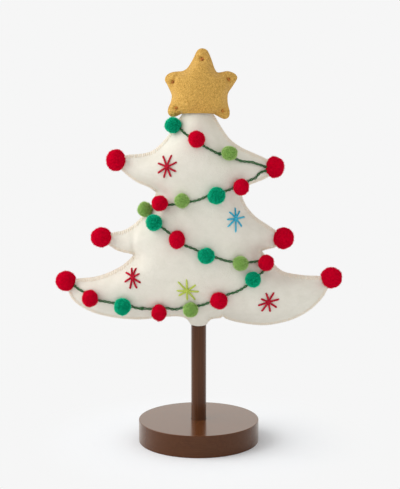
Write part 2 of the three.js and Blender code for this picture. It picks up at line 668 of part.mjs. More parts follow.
// Garland cord: it lies on the front and dips under the balls
const cordRoute = new THREE.CatmullRomCurve3(
  CORD_SHARES.map((share) => new THREE.Vector3(...onTree(share).toArray(), 0)),
  false,
  "centripetal",
);
const cordSteps = Math.round(cordRoute.getLength() / CORD_STEP);
const cordPlaces = cordRoute
  .getSpacedPoints(2 * cordSteps)
  .map((point) => new THREE.Vector2(point.x, point.y));
const cordPoints = layOnFront(tree, cordPlaces, CORD_DIAMETER / 2 + CORD_REST);
const cord = tubeAlong(cordPoints, CORD_DIAMETER, CORD_SIDES, cordSteps);
const roomDiameter = (CORD_DIAMETER + 2 * TOUCH_GAP) / Math.cos(Math.PI / THREAD_SIDES);
const cordRoom = tubeAlong(cordPoints, roomDiameter, THREAD_SIDES, cordSteps);
addPiece("garland_cord", cord, CORD_GREEN);

// Balls: each is flattened where it is pressed on, and hollowed for the felt and the cord
function addBall(name, whole, dye) {
  const fitted = whole.subtract(tree.envelope).subtract(star.envelope).subtract(cordRoom);
  addPiece(name, largestBody(fitted), BALL_FELT[dye]);
}

GARLAND_BALL_SHARES.forEach(([dye, ...share], i) => {
  const radius = GARLAND_BALL_DIAMETER / 2;
  const centre = restOnFront(tree, onTree(share), radius - BALL_SINK);
  const whole = ballAt(centre, GARLAND_BALL_DIAMETER, BALL_DETAIL);
  const number = String(i + 1).padStart(2, "0");
  addBall("garland_ball_" + number + "_" + dye, whole, dye);
});
Object.entries(TIP_BALL_SHARES).forEach(([place, share]) => {
  const { x, y } = onTree(share);
  const whole = ballAt(new THREE.Vector3(x, 0, y), TIP_BALL_DIAMETER, BALL_DETAIL);
  addBall("tip_ball_" + place, whole, "red");
});

// Snowflakes: long stitches that cross in the middle
Object.entries(SNOWFLAKE_SHARES).forEach(([name, [dye, across, up, reachShare]]) => {
  const middle = onTree([across, up]);
  const reach = reachShare * TREE_HALF_WIDTH;
  const lift = TOUCH_GAP + FLAKE_THREAD_DIAMETER / 2;
  const stitches = Array.from({ length: FLAKE_ARMS / 2 }, (_, i) => {
    const angle = (i * 2 * Math.PI) / FLAKE_ARMS;
    const arm = new THREE.Vector2(Math.cos(angle), Math.sin(angle)).multiplyScalar(reach);
    const places = Array.from({ length: 4 * FLAKE_STEPS + 1 }, (__, step) =>
      middle.clone().addScaledVector(arm, step / (2 * FLAKE_STEPS) - 1),
    );
    const points = layOnFront(tree, places, lift);
    return tubeAlong(points, FLAKE_THREAD_DIAMETER, THREAD_SIDES, 2 * FLAKE_STEPS);
  });
  const flake = stitches.reduce((joined, stitch) => joined.add(stitch));
  addPiece("snowflake_" + name, flake, FLAKE_THREAD[dye]);
});

export default part;
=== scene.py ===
# A tabletop christmas tree: stuffed felt on a painted stand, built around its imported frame.
# Lengths are in metres, the tree faces -Y, and the origin is under the middle of the base.
import math
import random

import bmesh
import bpy
import numpy as np
from mathutils import Matrix, Vector, noise
from mathutils.bvhtree import BVHTree
from mathutils.geometry import delaunay_2d_cdt, interpolate_bezier
from mathutils.kdtree import KDTree


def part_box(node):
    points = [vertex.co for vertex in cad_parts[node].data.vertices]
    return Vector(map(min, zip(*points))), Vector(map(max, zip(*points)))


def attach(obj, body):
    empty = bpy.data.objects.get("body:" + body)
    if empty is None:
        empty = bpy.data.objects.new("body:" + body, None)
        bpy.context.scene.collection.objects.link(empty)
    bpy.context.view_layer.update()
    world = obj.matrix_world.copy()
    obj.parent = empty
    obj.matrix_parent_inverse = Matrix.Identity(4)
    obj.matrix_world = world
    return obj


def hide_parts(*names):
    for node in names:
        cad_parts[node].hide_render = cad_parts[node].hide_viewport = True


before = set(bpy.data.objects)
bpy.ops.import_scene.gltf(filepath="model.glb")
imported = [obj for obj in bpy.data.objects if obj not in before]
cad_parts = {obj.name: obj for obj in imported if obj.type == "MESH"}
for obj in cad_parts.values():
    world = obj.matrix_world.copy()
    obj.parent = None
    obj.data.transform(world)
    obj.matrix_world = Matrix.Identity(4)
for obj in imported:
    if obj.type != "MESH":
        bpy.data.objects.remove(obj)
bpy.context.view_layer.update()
MM = 0.001

# Camera
# It stands 1.2 m before the tree, a little above its top, and looks slightly down, as the
# photograph was taken.
CAMERA_PLACE = Vector((1.3, -1200, 376.1)) * MM
CAMERA_TILT = math.radians(81.58)
CAMERA_LENS = 90.8  # mm, for a sensor whose long side is 36 mm

bpy.ops.object.select_all(action="DESELECT")
bpy.ops.object.camera_add(location=CAMERA_PLACE, rotation=(CAMERA_TILT, 0, 0))
bpy.context.object.data.lens = CAMERA_LENS
bpy.context.scene.camera = bpy.context.object

# Base disc
# A disc turned from beech and sprayed with brown satin lacquer. It has a socket for the dowel in
# its top, and a countersunk hole for the screw underneath.
BASE_SIDES = 160
BASE_EDGE_WIDTH = 0.5 * MM
EDGE_GUARD = 0.3 * MM  # loops this near to a rounded edge keep the face beside it shaded flat
SOCKET_RADIUS = 7.8 * MM
SOCKET_DEPTH = 13 * MM
SCREW_HOLE_RADIUS = 2.3 * MM
COUNTERSINK_RADIUS = 4.3 * MM
COUNTERSINK_DEPTH = 1 * MM
LACQUER_BROWN = "#56341f"
LACQUER_DEEP = "#4b2c1a"
LACQUER_TOP_PAINTED_LIGHT = "#61391f"  # painted light: the disc's top face is painted a lighter brown for the stronger light from above
LACQUER_FACE_DEPTH = 0.5 * MM
LACQUER_GLOSS = "#8a6a5a"  # the gloss that faces the eye takes some of the brown
LACQUER_FILM = "#fff5e0"  # what the film lets through
LACQUER_COAT = (0.3, 0.62)  # how much of the film lies on the walls and on the disc's face
GRAIN_WIDTH = 0.9 * MM
GRAIN_LENGTH = 30 * MM
GRAIN_DEPTH = 0.05 * MM
SMOOTH_ANGLE = math.radians(35)  # sharper edges stay sharp
SAME_LEVEL = 0.001 * MM


def linear(colour):
    """An sRGB hex colour as the linear numbers that a shader takes."""
    shares = [int(colour[i : i + 2], 16) / 255 for i in (1, 3, 5)]
    return [s / 12.92 if s <= 0.04045 else ((s + 0.055) / 1.055) ** 2.4 for s in shares] + [1]


def join(material, socket, node, name):
    """Links a socket to an input of a node."""
    material.node_tree.links.new(socket, node.inputs[name])


def add_node(material, kind, inputs, **settings):
    """Adds a shader node of a kind. Its inputs are numbers to set or sockets to link."""
    node = material.node_tree.nodes.new("ShaderNode" + kind)
    for name, value in settings.items():
        setattr(node, name, value)
    for name, value in inputs.items():
        if isinstance(value, bpy.types.NodeSocket):
            join(material, value, node, name)
        else:
            node.inputs[name].default_value = value
    return node


def new_material(name, **surface):
    """A material whose Principled shader has these inputs, with that shader, and with the places
    on the piece that it is given to."""
    material = bpy.data.materials.new(name)
    material.use_nodes = True
    nodes = material.node_tree.nodes
    nodes.remove(nodes["Principled BSDF"])
    inputs = {key.replace("_", " ").title().replace("Ior", "IOR"): v for key, v in surface.items()}
    shader = add_node(material, "BsdfPrincipled", inputs)
    join(material, shader.outputs[0], nodes["Material Output"], "Surface")
    places = add_node(material, "TexCoord", {}).outputs["Object"]
    return material, shader, places


def mottle(material, places, size, spread, shade, colour, pattern):
    """Clumps of a real size that pass from a shade to a colour: their noise and their tone. The
    tone still changes as far as the spread to both sides of the noise's middle."""
    clumps = add_node(material, "TexNoise", {"Vector": places, "Scale": 1 / size, **pattern})
    limits = {"Value": clumps.outputs[0], "From Min": 0.5 - spread, "From Max": 0.5 + spread}
    parted = add_node(material, "MapRange", limits)
    tones = {0: parted.outputs[0], 6: linear(shade), 7: linear(colour)}
    tone = add_node(material, "Mix", tones, data_type="RGBA")
    return clumps.outputs[0], tone.outputs[2]


def brown_lacquer(name, grain_scale, face_level):
    """Satin spray lacquer on beech: an even brown film over faint ridges and streaks of grain,
    thicker on the face that lies at a level, where a lighter brown is painted for the light from
    above."""
    wood, shader, places = new_material(
        name,
        roughness=0.22,
        ior=1.5,
        specular_tint=linear(LACQUER_GLOSS),
        coat_tint=linear(LACQUER_FILM),
        coat_roughness=0.15,
    )
    stretched = add_node(wood, "Mapping", {"Vector": places, "Scale": grain_scale})
    grain, tone = mottle(
        wood, stretched.outputs[0], GRAIN_WIDTH, 0.2, LACQUER_DEEP, LACQUER_BROWN, {"Detail": 3}
    )
    level = add_node(wood, "SeparateXYZ", {0: places})
    reach = {0: level.outputs["Z"], 1: face_level - LACQUER_FACE_DEPTH, 2: face_level}
    face = add_node(wood, "MapRange", reach)
    # painted light: above the level the brown is mixed to a lighter one, for the light that falls on
    # the top face
    tones = {0: face.outputs[0], 6: tone, 7: linear(LACQUER_TOP_PAINTED_LIGHT)}
    stain_and_painted_top_light = add_node(wood, "Mix", tones, data_type="RGBA")
    coats = {0: face.outputs[0], 3: LACQUER_COAT[0], 4: LACQUER_COAT[1]}
    film = add_node(wood, "MapRange", coats)
    relief = {"Height": grain, "Distance": GRAIN_DEPTH, "Strength": 0.5}
    ridges = add_node(wood, "Bump", relief)
    join(wood, stain_and_painted_top_light.outputs[2], shader, "Base Color")
    join(wood, film.outputs[0], shader, "Coat Weight")
    join(wood, ridges.outputs[0], shader, "Normal")
    return wood


def primitive(add, name, **settings):
    """A new primitive, alone selected, whose place is in its mesh."""
    bpy.ops.object.select_all(action="DESELECT")
    add(**settings)
    piece = bpy.context.object
    piece.name = name
    piece.data.name = name
    bpy.ops.object.transform_apply(location=True, rotation=True, scale=True)
    return piece


def select(piece, kind, test):
    """Selects only the vertices, edges or faces of a piece in edit mode that pass a test."""
    bpy.ops.mesh.select_mode(type=kind)
    bpy.ops.mesh.select_all(action="DESELECT")
    mesh = bmesh.from_edit_mesh(piece.data)
    for element in {"VERT": mesh.verts, "EDGE": mesh.edges, "FACE": mesh.faces}[kind]:
        if test(element):
            element.select_set(True)
    bmesh.update_edit_mesh(piece.data)


def extrude(height, scale=1):
    """Extrudes the selected cap along Z and widens or narrows it."""
    bpy.ops.mesh.extrude_region_move(TRANSFORM_OT_translate={"value": (0, 0, height)})
    bpy.ops.transform.resize(value=(scale, scale, 1))


def is_cap(level):
    """A test for the flat faces that lie at a level and look along Z."""
    return lambda f: abs(f.normal.z) > 0.99 and abs(f.calc_center_median().z - level) < SAME_LEVEL


def is_level(edge):
    """A test for the edges that lie level, such as those round a cap."""
    return abs(edge.verts[0].co.z - edge.verts[1].co.z) < SAME_LEVEL


def turned(name, low, high, sides, edge_width, segments):
    """A cylinder from the lowest to the highest corner of a box, left in edit mode, with rounded
    edges and a loop cut beside each."""
    length = high.z - low.z
    piece = primitive(
        bpy.ops.mesh.primitive_cylinder_add,
        name,
        vertices=sides,
        radius=high.x,
        depth=length,
        location=(0, 0, low.z + length / 2),
    )
    bpy.ops.object.mode_set(mode="EDIT")
    select(piece, "EDGE", is_level)
    bpy.ops.mesh.bevel(offset=edge_width, segments=segments)
    for level in (low.z + edge_width + EDGE_GUARD, high.z - edge_width - EDGE_GUARD):
        bpy.ops.mesh.select_all(action="SELECT")
        bpy.ops.mesh.bisect(plane_co=(0, 0, level), plane_no=(0, 0, 1))
    return piece


def dress(piece, material, slot, *nodes):
    """Gives a finished piece its material and its body, and hides the nodes that it stands for."""
    piece.data.materials.clear()
    piece.data.materials.append(material)
    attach(piece, "root")
    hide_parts(*nodes)


base_low, base_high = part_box("base_disc")
base = turned("base_disc_turned", base_low, base_high, BASE_SIDES, BASE_EDGE_WIDTH, segments=4)
cap_radius = base_high.x - BASE_EDGE_WIDTH - EDGE_GUARD
select(base, "FACE", is_cap(base_high.z))
bpy.ops.mesh.inset(thickness=EDGE_GUARD)
bpy.ops.mesh.inset(thickness=cap_radius - SOCKET_RADIUS)
extrude(-SOCKET_DEPTH)
bpy.ops.mesh.inset(thickness=SOCKET_RADIUS - SCREW_HOLE_RADIUS)
bpy.ops.mesh.delete(type="FACE")
select(base, "FACE", is_cap(base_low.z))
bpy.ops.mesh.inset(thickness=EDGE_GUARD)
bpy.ops.mesh.inset(thickness=cap_radius - COUNTERSINK_RADIUS)
extrude(COUNTERSINK_DEPTH)
extrude(COUNTERSINK_RADIUS - SCREW_HOLE_RADIUS, SCREW_HOLE_RADIUS / COUNTERSINK_RADIUS)
bpy.ops.mesh.delete(type="FACE")
select(base, "EDGE", lambda edge: not edge.is_manifold)
bpy.ops.mesh.bridge_edge_loops()
bpy.ops.mesh.select_all(action="SELECT")
bpy.ops.mesh.normals_make_consistent(inside=False)
bpy.ops.object.mode_set(mode="OBJECT")
bpy.ops.object.shade_smooth_by_angle(angle=SMOOTH_ANGLE)
grain_stretch = GRAIN_WIDTH / GRAIN_LENGTH
disc_lacquer = brown_lacquer("brown_satin_lacquer_disc", (grain_stretch, 1, 1), base_high.z)
dress(base, disc_lacquer, "painted_wood", "base_disc")

# Screw
# A countersunk steel wood screw, driven from under the base up into the dowel. It is the packed
# node with a steel finish.
STEEL_GREY = "#b9b9b5"
SCRATCH_WIDTH = 0.3 * MM
SCRATCH_DEPTH = 0.02 * MM


def screw_steel():
    """Bright zinc-plated steel, drawn and cut, so that fine scratches break its gloss."""
    steel, shader, places = new_material(
        "zinc_plated_steel", base_color=linear(STEEL_GREY), metallic=1, roughness=0.3
    )
    scratches = add_node(steel, "TexNoise", {"Vector": places, "Scale": 1 / SCRATCH_WIDTH})
    relief = {"Height": scratches.outputs[0], "Distance": SCRATCH_DEPTH, "Strength": 0.4}
    bump = add_node(steel, "Bump", relief)
    join(steel, bump.outputs[0], shader, "Normal")
    return steel


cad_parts["base_screw"].data.materials.clear()
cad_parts["base_screw"].data.materials.append(screw_steel())

# Trunk dowel
# A straight beech dowel under the same lacquer. It is glued and screwed into the socket, and runs
# far up into the filling of the tree.
DOWEL_SIDES = 64
DOWEL_BEVEL = 1.2 * MM
PILOT_DEPTH = 24 * MM

dowel_low, dowel_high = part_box("trunk_dowel")
dowel = turned("trunk_dowel_turned", dowel_low, dowel_high, DOWEL_SIDES, DOWEL_BEVEL, segments=3)
select(dowel, "FACE", is_cap(dowel_low.z))
bpy.ops.mesh.inset(thickness=dowel_high.x - DOWEL_BEVEL - SCREW_HOLE_RADIUS)
extrude(PILOT_DEPTH)
bpy.ops.object.mode_set(mode="OBJECT")
bpy.ops.object.shade_smooth_by_angle(angle=SMOOTH_ANGLE)
dowel_lacquer = brown_lacquer("brown_satin_lacquer_dowel", (1, 1, grain_stretch), dowel_high.z)
dress(dowel, dowel_lacquer, "painted_wood", "trunk_dowel")

# Tree: filling
# Polyester fibre, stuffed firmly between the felt panels and round the dowel. It swells as far as
# the cover lets it, so it is blown up as cloth from a slightly smaller shape.
TREE_VOXEL = 3.5 * MM
FILLING_PRESSURE = 4
FILLING_FRAMES = 20
TREE_FILLING_CAP = 2.5 * MM
FILLING_SMOOTHING = 6
WELD_DISTANCE = 0.001 * MM
TINY = 1e-9  # keeps a division from meeting nothing
FIBRE_WHITE = "#f3f1ea"
FIBRE_SHADE = "#dedbd0"
FIBRE_CLUMP = 4 * MM
FIBRE_RELIEF = 1 * MM


def fibre_filling():
    """Carded polyester fibre: white, soft and without gloss, in clumps of a few millimetres."""
    fibre, shader, places = new_material("polyester_fibre", roughness=1.0, sheen_weight=0.3)
    pattern = {"Detail": 6, "Distortion": 1.5}
    clumps, tone = mottle(fibre, places, FIBRE_CLUMP, 0.5, FIBRE_SHADE, FIBRE_WHITE, pattern)
    bump = add_node(fibre, "Bump", {"Height": clumps, "Distance": FIBRE_RELIEF})
    join(fibre, tone, shader, "Base Color")
    join(fibre, bump.outputs[0], shader, "Normal")
    return fibre


def corners_of(mesh):
    """The places of a mesh's vertices, one row each."""
    places = np.zeros(len(mesh.vertices) * 3, np.float32)
    mesh.vertices.foreach_get("co", places)
    return places.reshape(-1, 3)


def pick(piece):
    """Makes a piece the only one that is selected, and the active one."""
    bpy.ops.object.select_all(action="DESELECT")
    piece.select_set(True)
    bpy.context.view_layer.objects.active = piece


def add_piece(name, data):
    """A new piece of this mesh or curve, alone selected."""
    piece = bpy.data.objects.new(name, data)
    bpy.context.scene.collection.objects.link(piece)
    pick(piece)
    return piece


def apply_modifier(piece, kind, **settings):
    """Adds a modifier to a piece and applies it."""
    pick(piece)
    modifier = piece.modifiers.new(kind, kind)
    for name, value in settings.items():
        setattr(modifier, name, value)
    bpy.ops.object.modifier_apply(modifier=modifier.name)


def swollen_filling(name, node, voxel, cap):
    """The filling of a sewn cover: its solid, remeshed and blown up, with its movement capped."""
    filling = add_piece(name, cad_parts[node].data.copy())
    apply_modifier(filling, "WELD", merge_threshold=WELD_DISTANCE)
    apply_modifier(filling, "REMESH", mode="VOXEL", voxel_size=voxel)
    start = corners_of(filling.data)
    cloth = filling.modifiers.new("pressure", "CLOTH")
    cloth.settings.use_pressure = True
    cloth.settings.uniform_pressure_force = FILLING_PRESSURE
    cloth.settings.effector_weights.gravity = 0
    for number in range(1, FILLING_FRAMES + 1):
        bpy.context.scene.frame_set(number)
    shown = filling.evaluated_get(bpy.context.evaluated_depsgraph_get())
    moved = corners_of(shown.data) - start
    far = np.linalg.norm(moved, axis=1, keepdims=True)
    moved *= np.minimum(1, cap / np.maximum(far, TINY))
    filling.modifiers.remove(cloth)
    filling.data.vertices.foreach_set("co", (start + moved).ravel())
    bpy.context.scene.frame_set(1)
    apply_modifier(filling, "SMOOTH", iterations=FILLING_SMOOTHING)
    apply_modifier(filling, "SUBSURF", levels=1, render_levels=1)
    filling.data.shade_smooth()
    return filling


def ray_tree(piece):
    """A piece as it stands, ready to be found by rays."""
    return BVHTree.FromObject(piece, bpy.context.evaluated_depsgraph_get())


fibre = fibre_filling()
tree_filling = swollen_filling("tree_filling", "tree_stuffing", TREE_VOXEL, TREE_FILLING_CAP)
tree_swell = ray_tree(tree_filling)
dress(tree_filling, fibre, "stuffing", "tree_stuffing")

# Tree: felt panels
# Two panels of thick cream wool felt, cut alike and sewn edge to edge. The filling swells them,
# the seam draws them flat round the edge, and the hem stands open round the dowel.
# The edge is in shares: sideways of the half width, upwards of the height from the hem.
TREE_TOP_TO_HEM_RUNS = [
    [
        (0.004, 1.0), (-0.042, 0.989), (-0.073, 0.961), (-0.098, 0.927), (-0.123, 0.897),
        (-0.142, 0.879), (-0.178, 0.846), (-0.218, 0.813), (-0.267, 0.78), (-0.317, 0.753),
        (-0.369, 0.737), (-0.443, 0.729), (-0.532, 0.725), (-0.573, 0.716), (-0.588, 0.694),
        (-0.58, 0.671), (-0.557, 0.656), (-0.515, 0.635), (-0.454, 0.612), (-0.371, 0.592),
        (-0.315, 0.569),
    ],
    [
        (-0.315, 0.569), (-0.34, 0.532), (-0.374, 0.5), (-0.417, 0.469), (-0.486, 0.431),
        (-0.567, 0.405), (-0.641, 0.397), (-0.683, 0.385), (-0.697, 0.366), (-0.687, 0.35),
        (-0.662, 0.341), (-0.608, 0.322), (-0.515, 0.309), (-0.485, 0.303),
    ],
    [
        (-0.485, 0.303), (-0.522, 0.28), (-0.589, 0.25), (-0.691, 0.222), (-0.792, 0.205),
        (-0.916, 0.198), (-0.96, 0.188), (-0.977, 0.168), (-0.976, 0.141), (-0.95, 0.11),
        (-0.882, 0.079), (-0.782, 0.052), (-0.627, 0.032), (-0.458, 0.025), (-0.346, 0.03),
        (-0.234, 0.037), (-0.163, 0.039), (-0.119, 0.035), (-0.089, 0.026), (-0.072, 0.013),
    ],
]
TREE_HEM_TO_TOP_RUNS = [
    [(0.072, 0.013), (0.087, 0.023), (0.111, 0.028), (0.141, 0.03), (0.168, 0.032), (0.184, 0.041)],
    [
        (0.184, 0.041), (0.202, 0.0295), (0.315, 0.011), (0.488, 0.0), (0.626, 0.011),
        (0.735, 0.031), (0.842, 0.067), (0.928, 0.115), (0.963, 0.148), (0.977, 0.172),
        (0.971, 0.196), (0.939, 0.208), (0.803, 0.212), (0.673, 0.223), (0.622, 0.234),
        (0.58, 0.254), (0.537, 0.277), (0.469, 0.32),
    ],
    [
        (0.469, 0.32), (0.513, 0.328), (0.574, 0.337), (0.605, 0.352), (0.61, 0.373),
        (0.597, 0.396), (0.569, 0.409), (0.512, 0.431), (0.439, 0.458), (0.379, 0.492),
        (0.344, 0.522), (0.321, 0.556), (0.316, 0.58),
    ],
    [
        (0.316, 0.58), (0.384, 0.603), (0.444, 0.616), (0.507, 0.632), (0.536, 0.649),
        (0.542, 0.672), (0.533, 0.695), (0.504, 0.709), (0.409, 0.733), (0.31, 0.759),
        (0.23, 0.793), (0.176, 0.834), (0.124, 0.882), (0.108, 0.898), (0.084, 0.929),
        (0.064, 0.961), (0.038, 0.989), (0.004, 1.0),
    ],
]
SIDES = {"front": -1, "back": 1}  # which way along Y each side faces
FELT_THICKNESS = 1.8 * MM
HEM_RISE = 8.4 * MM
HEM_DROP = 2.4 * MM  # how much lower the collar hangs in the middle than at its ends
TREE_LIP = 0.3 * MM
TREE_CROWN = (0, 10 * MM)  # no height: the filling alone gives the tree its swell
PANEL_GAP = 0.15 * MM  # from the middle plane to each panel
FILLING_GAP = 0.1 * MM
TREE_STEP = 1.6 * MM
CURVE_STEPS = 12
TRIANGLE_ROW = 0.866  # of a step, from one row of corners to the next
EDGE_CLEARANCE = 0.9  # of a step, from the edge to the first corners inside it
SAME_PLACE = 0.0001 * MM
EDGE_SHARES = (0.72, 0.28)  # of the felt's thickness, where its cut edge has rows of corners
BRIDGE_ROUNDS = 60  # of evening out where a panel has nothing under it
DRAPE_ROUNDS = 14  # of evening out over the whole panel
MOST_STRETCH = 1.7  # how many times its thickness steep felt measures along Y, at most
FELT_CREAM = "#ece7da"
FELT_CREAM_SHADE = "#e5e0d2"
FELT_CLUMP = 9 * MM
FELT_GRAIN = 1.5 * MM  # coarser than wool, so that it shows
BALL_DENT = (0.9, 5.5)  # how deep and how wide a sewn-on ball draws the felt in, in millimetres
BALL_FIT_ROUNDS = 8
BALL_FIT_SHARE = 0.85  # of the corners, which each round keeps
BALL_FIT_ERROR = 0.01 * MM
RIPPLE = 0.45 * MM
RIPPLE_LENGTH = 9 * MM
RIPPLE_REACH = 6 * MM
CREASE_FADE = 0.6  # of its depth, which a crease has lost at its end
# Creases in the front: start, end, depth and half width, in millimetres from the trunk's line
# and above the table. Each is deepest where it starts.
TREE_CREASES = [
    ((-63.5, 188.5), (-62.5, 214), 3.0, 3.2),
    ((61.5, 192), (63.5, 168), 2.4, 3.2),
    ((-41.3, 250), (-30, 251), 1.6, 3.5),
    ((41.5, 252), (30, 249), 1.6, 3.5),
    ((24.1, 126.5), (21, 137), 2.2, 2.2),
    ((-70, 286), (-62, 276), 1.0, 2.0),
    ((-69, 280), (-60, 270), 0.8, 2.0),
    ((-120, 158), (-104, 160), 1.0, 2.2),
    ((-119, 153), (-100, 151), 0.9, 2.0),
    ((122, 160), (106, 160), 1.0, 2.2),
    ((-86, 203), (-74, 200), 0.9, 2.0),
    ((74, 203), (62, 201), 0.9, 2.0),
    ((64, 272), (52, 270), 0.9, 2.0),
    ((8.2, 119.3), (12.2, 126.8), 2.6, 1.5),
]


def felt(name, colour, shade, clump, fibre_width, swirl, nap, gloss, rough, bloom, tint):
    """Pressed wool felt: matt, with a bloom of fine hair at its edges that has its own tint.
    Clumps of slightly darker wool show in it, which swirl bends, and nap is how deep fibres lie."""
    wool, shader, places = new_material(
        name,
        roughness=rough,
        specular_ior_level=gloss,
        sheen_weight=bloom,
        sheen_roughness=0.4,
        sheen_tint=linear(tint),
    )
    pattern = {"Detail": 5, "Roughness": 0.65, "Distortion": swirl}
    _, tone = mottle(wool, places, clump, 0.18, shade, colour, pattern)
    matted = {"Vector": places, "Scale": 1 / fibre_width, "Detail": 4, "Distortion": 1.2}
    fibres = add_node(wool, "TexNoise", matted)
    relief = {"Height": fibres.outputs[0], "Distance": nap, "Strength": 1.0}
    bump = add_node(wool, "Bump", relief)
    join(wool, tone, shader, "Base Color")
    join(wool, bump.outputs[0], shader, "Normal")
    return wool


def unit(rows):
    """The same directions, one in each row, with a length of 1."""
    return rows / np.linalg.norm(rows, axis=1, keepdims=True)


def smooth_run(corners, step):
    """Evenly spaced points on a smooth curve through the corners, without the last one."""
    corners = [Vector(corner) for corner in corners]
    ends = [corners[0], *corners, corners[-1]]
    tangents = [(after - before).normalized() for before, after in zip(ends, ends[2:])]
    dense = []
    for a, b, leaving, arriving in zip(corners, corners[1:], tangents, tangents[1:]):
        reach = (b - a).length / 3
        handles = a + leaving * reach, b - arriving * reach
        dense += interpolate_bezier(a, *handles, b, CURVE_STEPS)[:-1]
    dense = np.array([*dense, corners[-1]])
    along = np.r_[0, np.cumsum(np.linalg.norm(np.diff(dense, axis=0), axis=1))]
    stops = np.linspace(0, along[-1], round(along[-1] / step) + 1)[:-1]
    return np.stack([np.interp(stops, along, dense[:, axis]) for axis in range(3)], axis=1)


def hem_arch(start, end, rise, drop, step):
    """The open edge of a panel, which stands in an arch round what goes up into the cover, and
    hangs lower in the middle by the drop."""
    count = round((end - start).length / step)
    shares = np.arange(count) / count
    bow = np.sqrt(1 - (2 * shares - 1) ** 2)
    arch = np.outer(1 - shares, start) + np.outer(shares, end)
    arch[:, 1] = rise * bow
    arch[:, 2] -= drop * bow
    return arch


def relax(heights, edges, free, rounds):
    """Evens heights out between neighbours, as far as each is free from 0 to 1."""
    size = len(heights)
    count = np.bincount(edges.ravel(), minlength=size)
    for _ in range(rounds):
        total = np.bincount(edges[:, 0], heights[edges[:, 1]], size)
        total += np.bincount(edges[:, 1], heights[edges[:, 0]], size)
        heights = heights + free * (total / count - heights)
    return heights


def crease_depth(spots, creases):
    """How deep the creases draw the felt in at each spot: deepest where a crease starts."""
    depth = np.zeros(len(spots))
    for start, end, deep, wide in creases:
        start, end = np.array(start) * MM, np.array(end) * MM
        along = end - start
        share = np.clip((spots - start) @ along / max(along @ along, TINY), 0, 1)
        away = np.linalg.norm(spots - start - share[:, None] * along, axis=1)
        depth += deep * MM * (1 - CREASE_FADE * share) * np.exp(-((away / (wide * MM)) ** 2))
    return depth


def dent(middle, deep, wide):
    """A round dent about a middle, as a crease without length."""
    place = middle.x / MM, middle.z / MM
    return place, place, deep, wide


def press_under(filling, cover, facing):
    """Presses one side of a filling in under the panel over it."""
    skin = ray_tree(cover)
    for vertex in filling.data.vertices:
        rise = facing * vertex.co.y
        if rise > 0:
            start = Vector((vertex.co.x, 0, vertex.co.z))
            hit = skin.ray_cast(start, Vector((0, facing, 0)))[0]
            most = facing * hit.y - FILLING_GAP if hit else 0
            vertex.co.y = facing * max(0, min(rise, most))


def panel_cells(edge, near, step):
    """Even triangles inside an edge, whose own points come first: their spots and their corners."""
    low, high = edge.min(axis=0), edge.max(axis=0)
    inside = []
    for row, up in enumerate(np.arange(low[1], high[1], step * TRIANGLE_ROW)):
        for across in np.arange(low[0] + (row % 2) * step / 2, high[0], step):
            if near.find((across, up, 0))[2] > EDGE_CLEARANCE * step:
                inside.append((across, up))
    places = [Vector(place) for place in [*edge.tolist(), *inside]]
    spots, _, cells, _, _, _ = delaunay_2d_cdt(places, [], [list(range(len(edge)))], 1, SAME_PLACE)
    used, cells = np.unique(np.array(cells), return_inverse=True)
    return np.array(spots)[used], cells.reshape(-1, 3)


def panel_heights(spots, cells, rim, near, under, facing, step, creases, crown):
    """How far the inside of a panel lies from the middle plane at each spot: on what is under it,
    evened out as cloth evens it, with the ripples of the seam and the creases."""
    count = len(rim)
    heights = np.full(len(spots), np.nan)
    ripple = np.zeros(len(spots))
    inland = np.zeros(len(spots))
    for i, (across, up) in enumerate(spots):
        _, k, inland[i] = near.find((across, up, 0))
        share = inland[i] / RIPPLE_REACH
        wave = noise.noise(Vector((k * step / RIPPLE_LENGTH, facing, 0)))
        ripple[i] = RIPPLE * wave * share * math.exp(1 - share)
        for tree in under:
            hit = tree.ray_cast(Vector((across, facing, up)), Vector((0, -facing, 0)))[0]
            if hit:
                heights[i] = np.fmax(heights[i], facing * hit.y + PANEL_GAP)
    heights[:count] = rim[:, 1] + PANEL_GAP
    sides = np.concatenate([cells[:, [0, 1]], cells[:, [1, 2]], cells[:, [2, 0]]])
    sides = np.unique(np.sort(sides, axis=1), axis=0)
    missed = np.isnan(heights)
    heights[missed] = PANEL_GAP
    heights = relax(heights, sides, missed * 1.0, BRIDGE_ROUNDS)
    heights += crown[0] * np.sqrt(1 - (1 - np.minimum(inland / crown[1], 1)) ** 2)
    free = np.ones(len(spots))
    free[:count] = 0
    heights = relax(heights, sides, free, DRAPE_ROUNDS) + ripple - crease_depth(spots, creases)
    heights[:count] = rim[:, 1] + PANEL_GAP
    return np.maximum(heights, PANEL_GAP)


def stretched_thickness(skin, cells, thickness):
    """The thickness of felt at each corner of its skin, measured along Y."""
    square = np.cross(skin[cells[:, 1]] - skin[cells[:, 0]], skin[cells[:, 2]] - skin[cells[:, 0]])
    steep = np.zeros((len(skin), 3))
    for corner in range(3):
        np.add.at(steep, cells[:, corner], square)
    stretch = np.linalg.norm(steep, axis=1) / np.abs(steep[:, 1])
    return thickness * np.minimum(stretch, MOST_STRETCH)


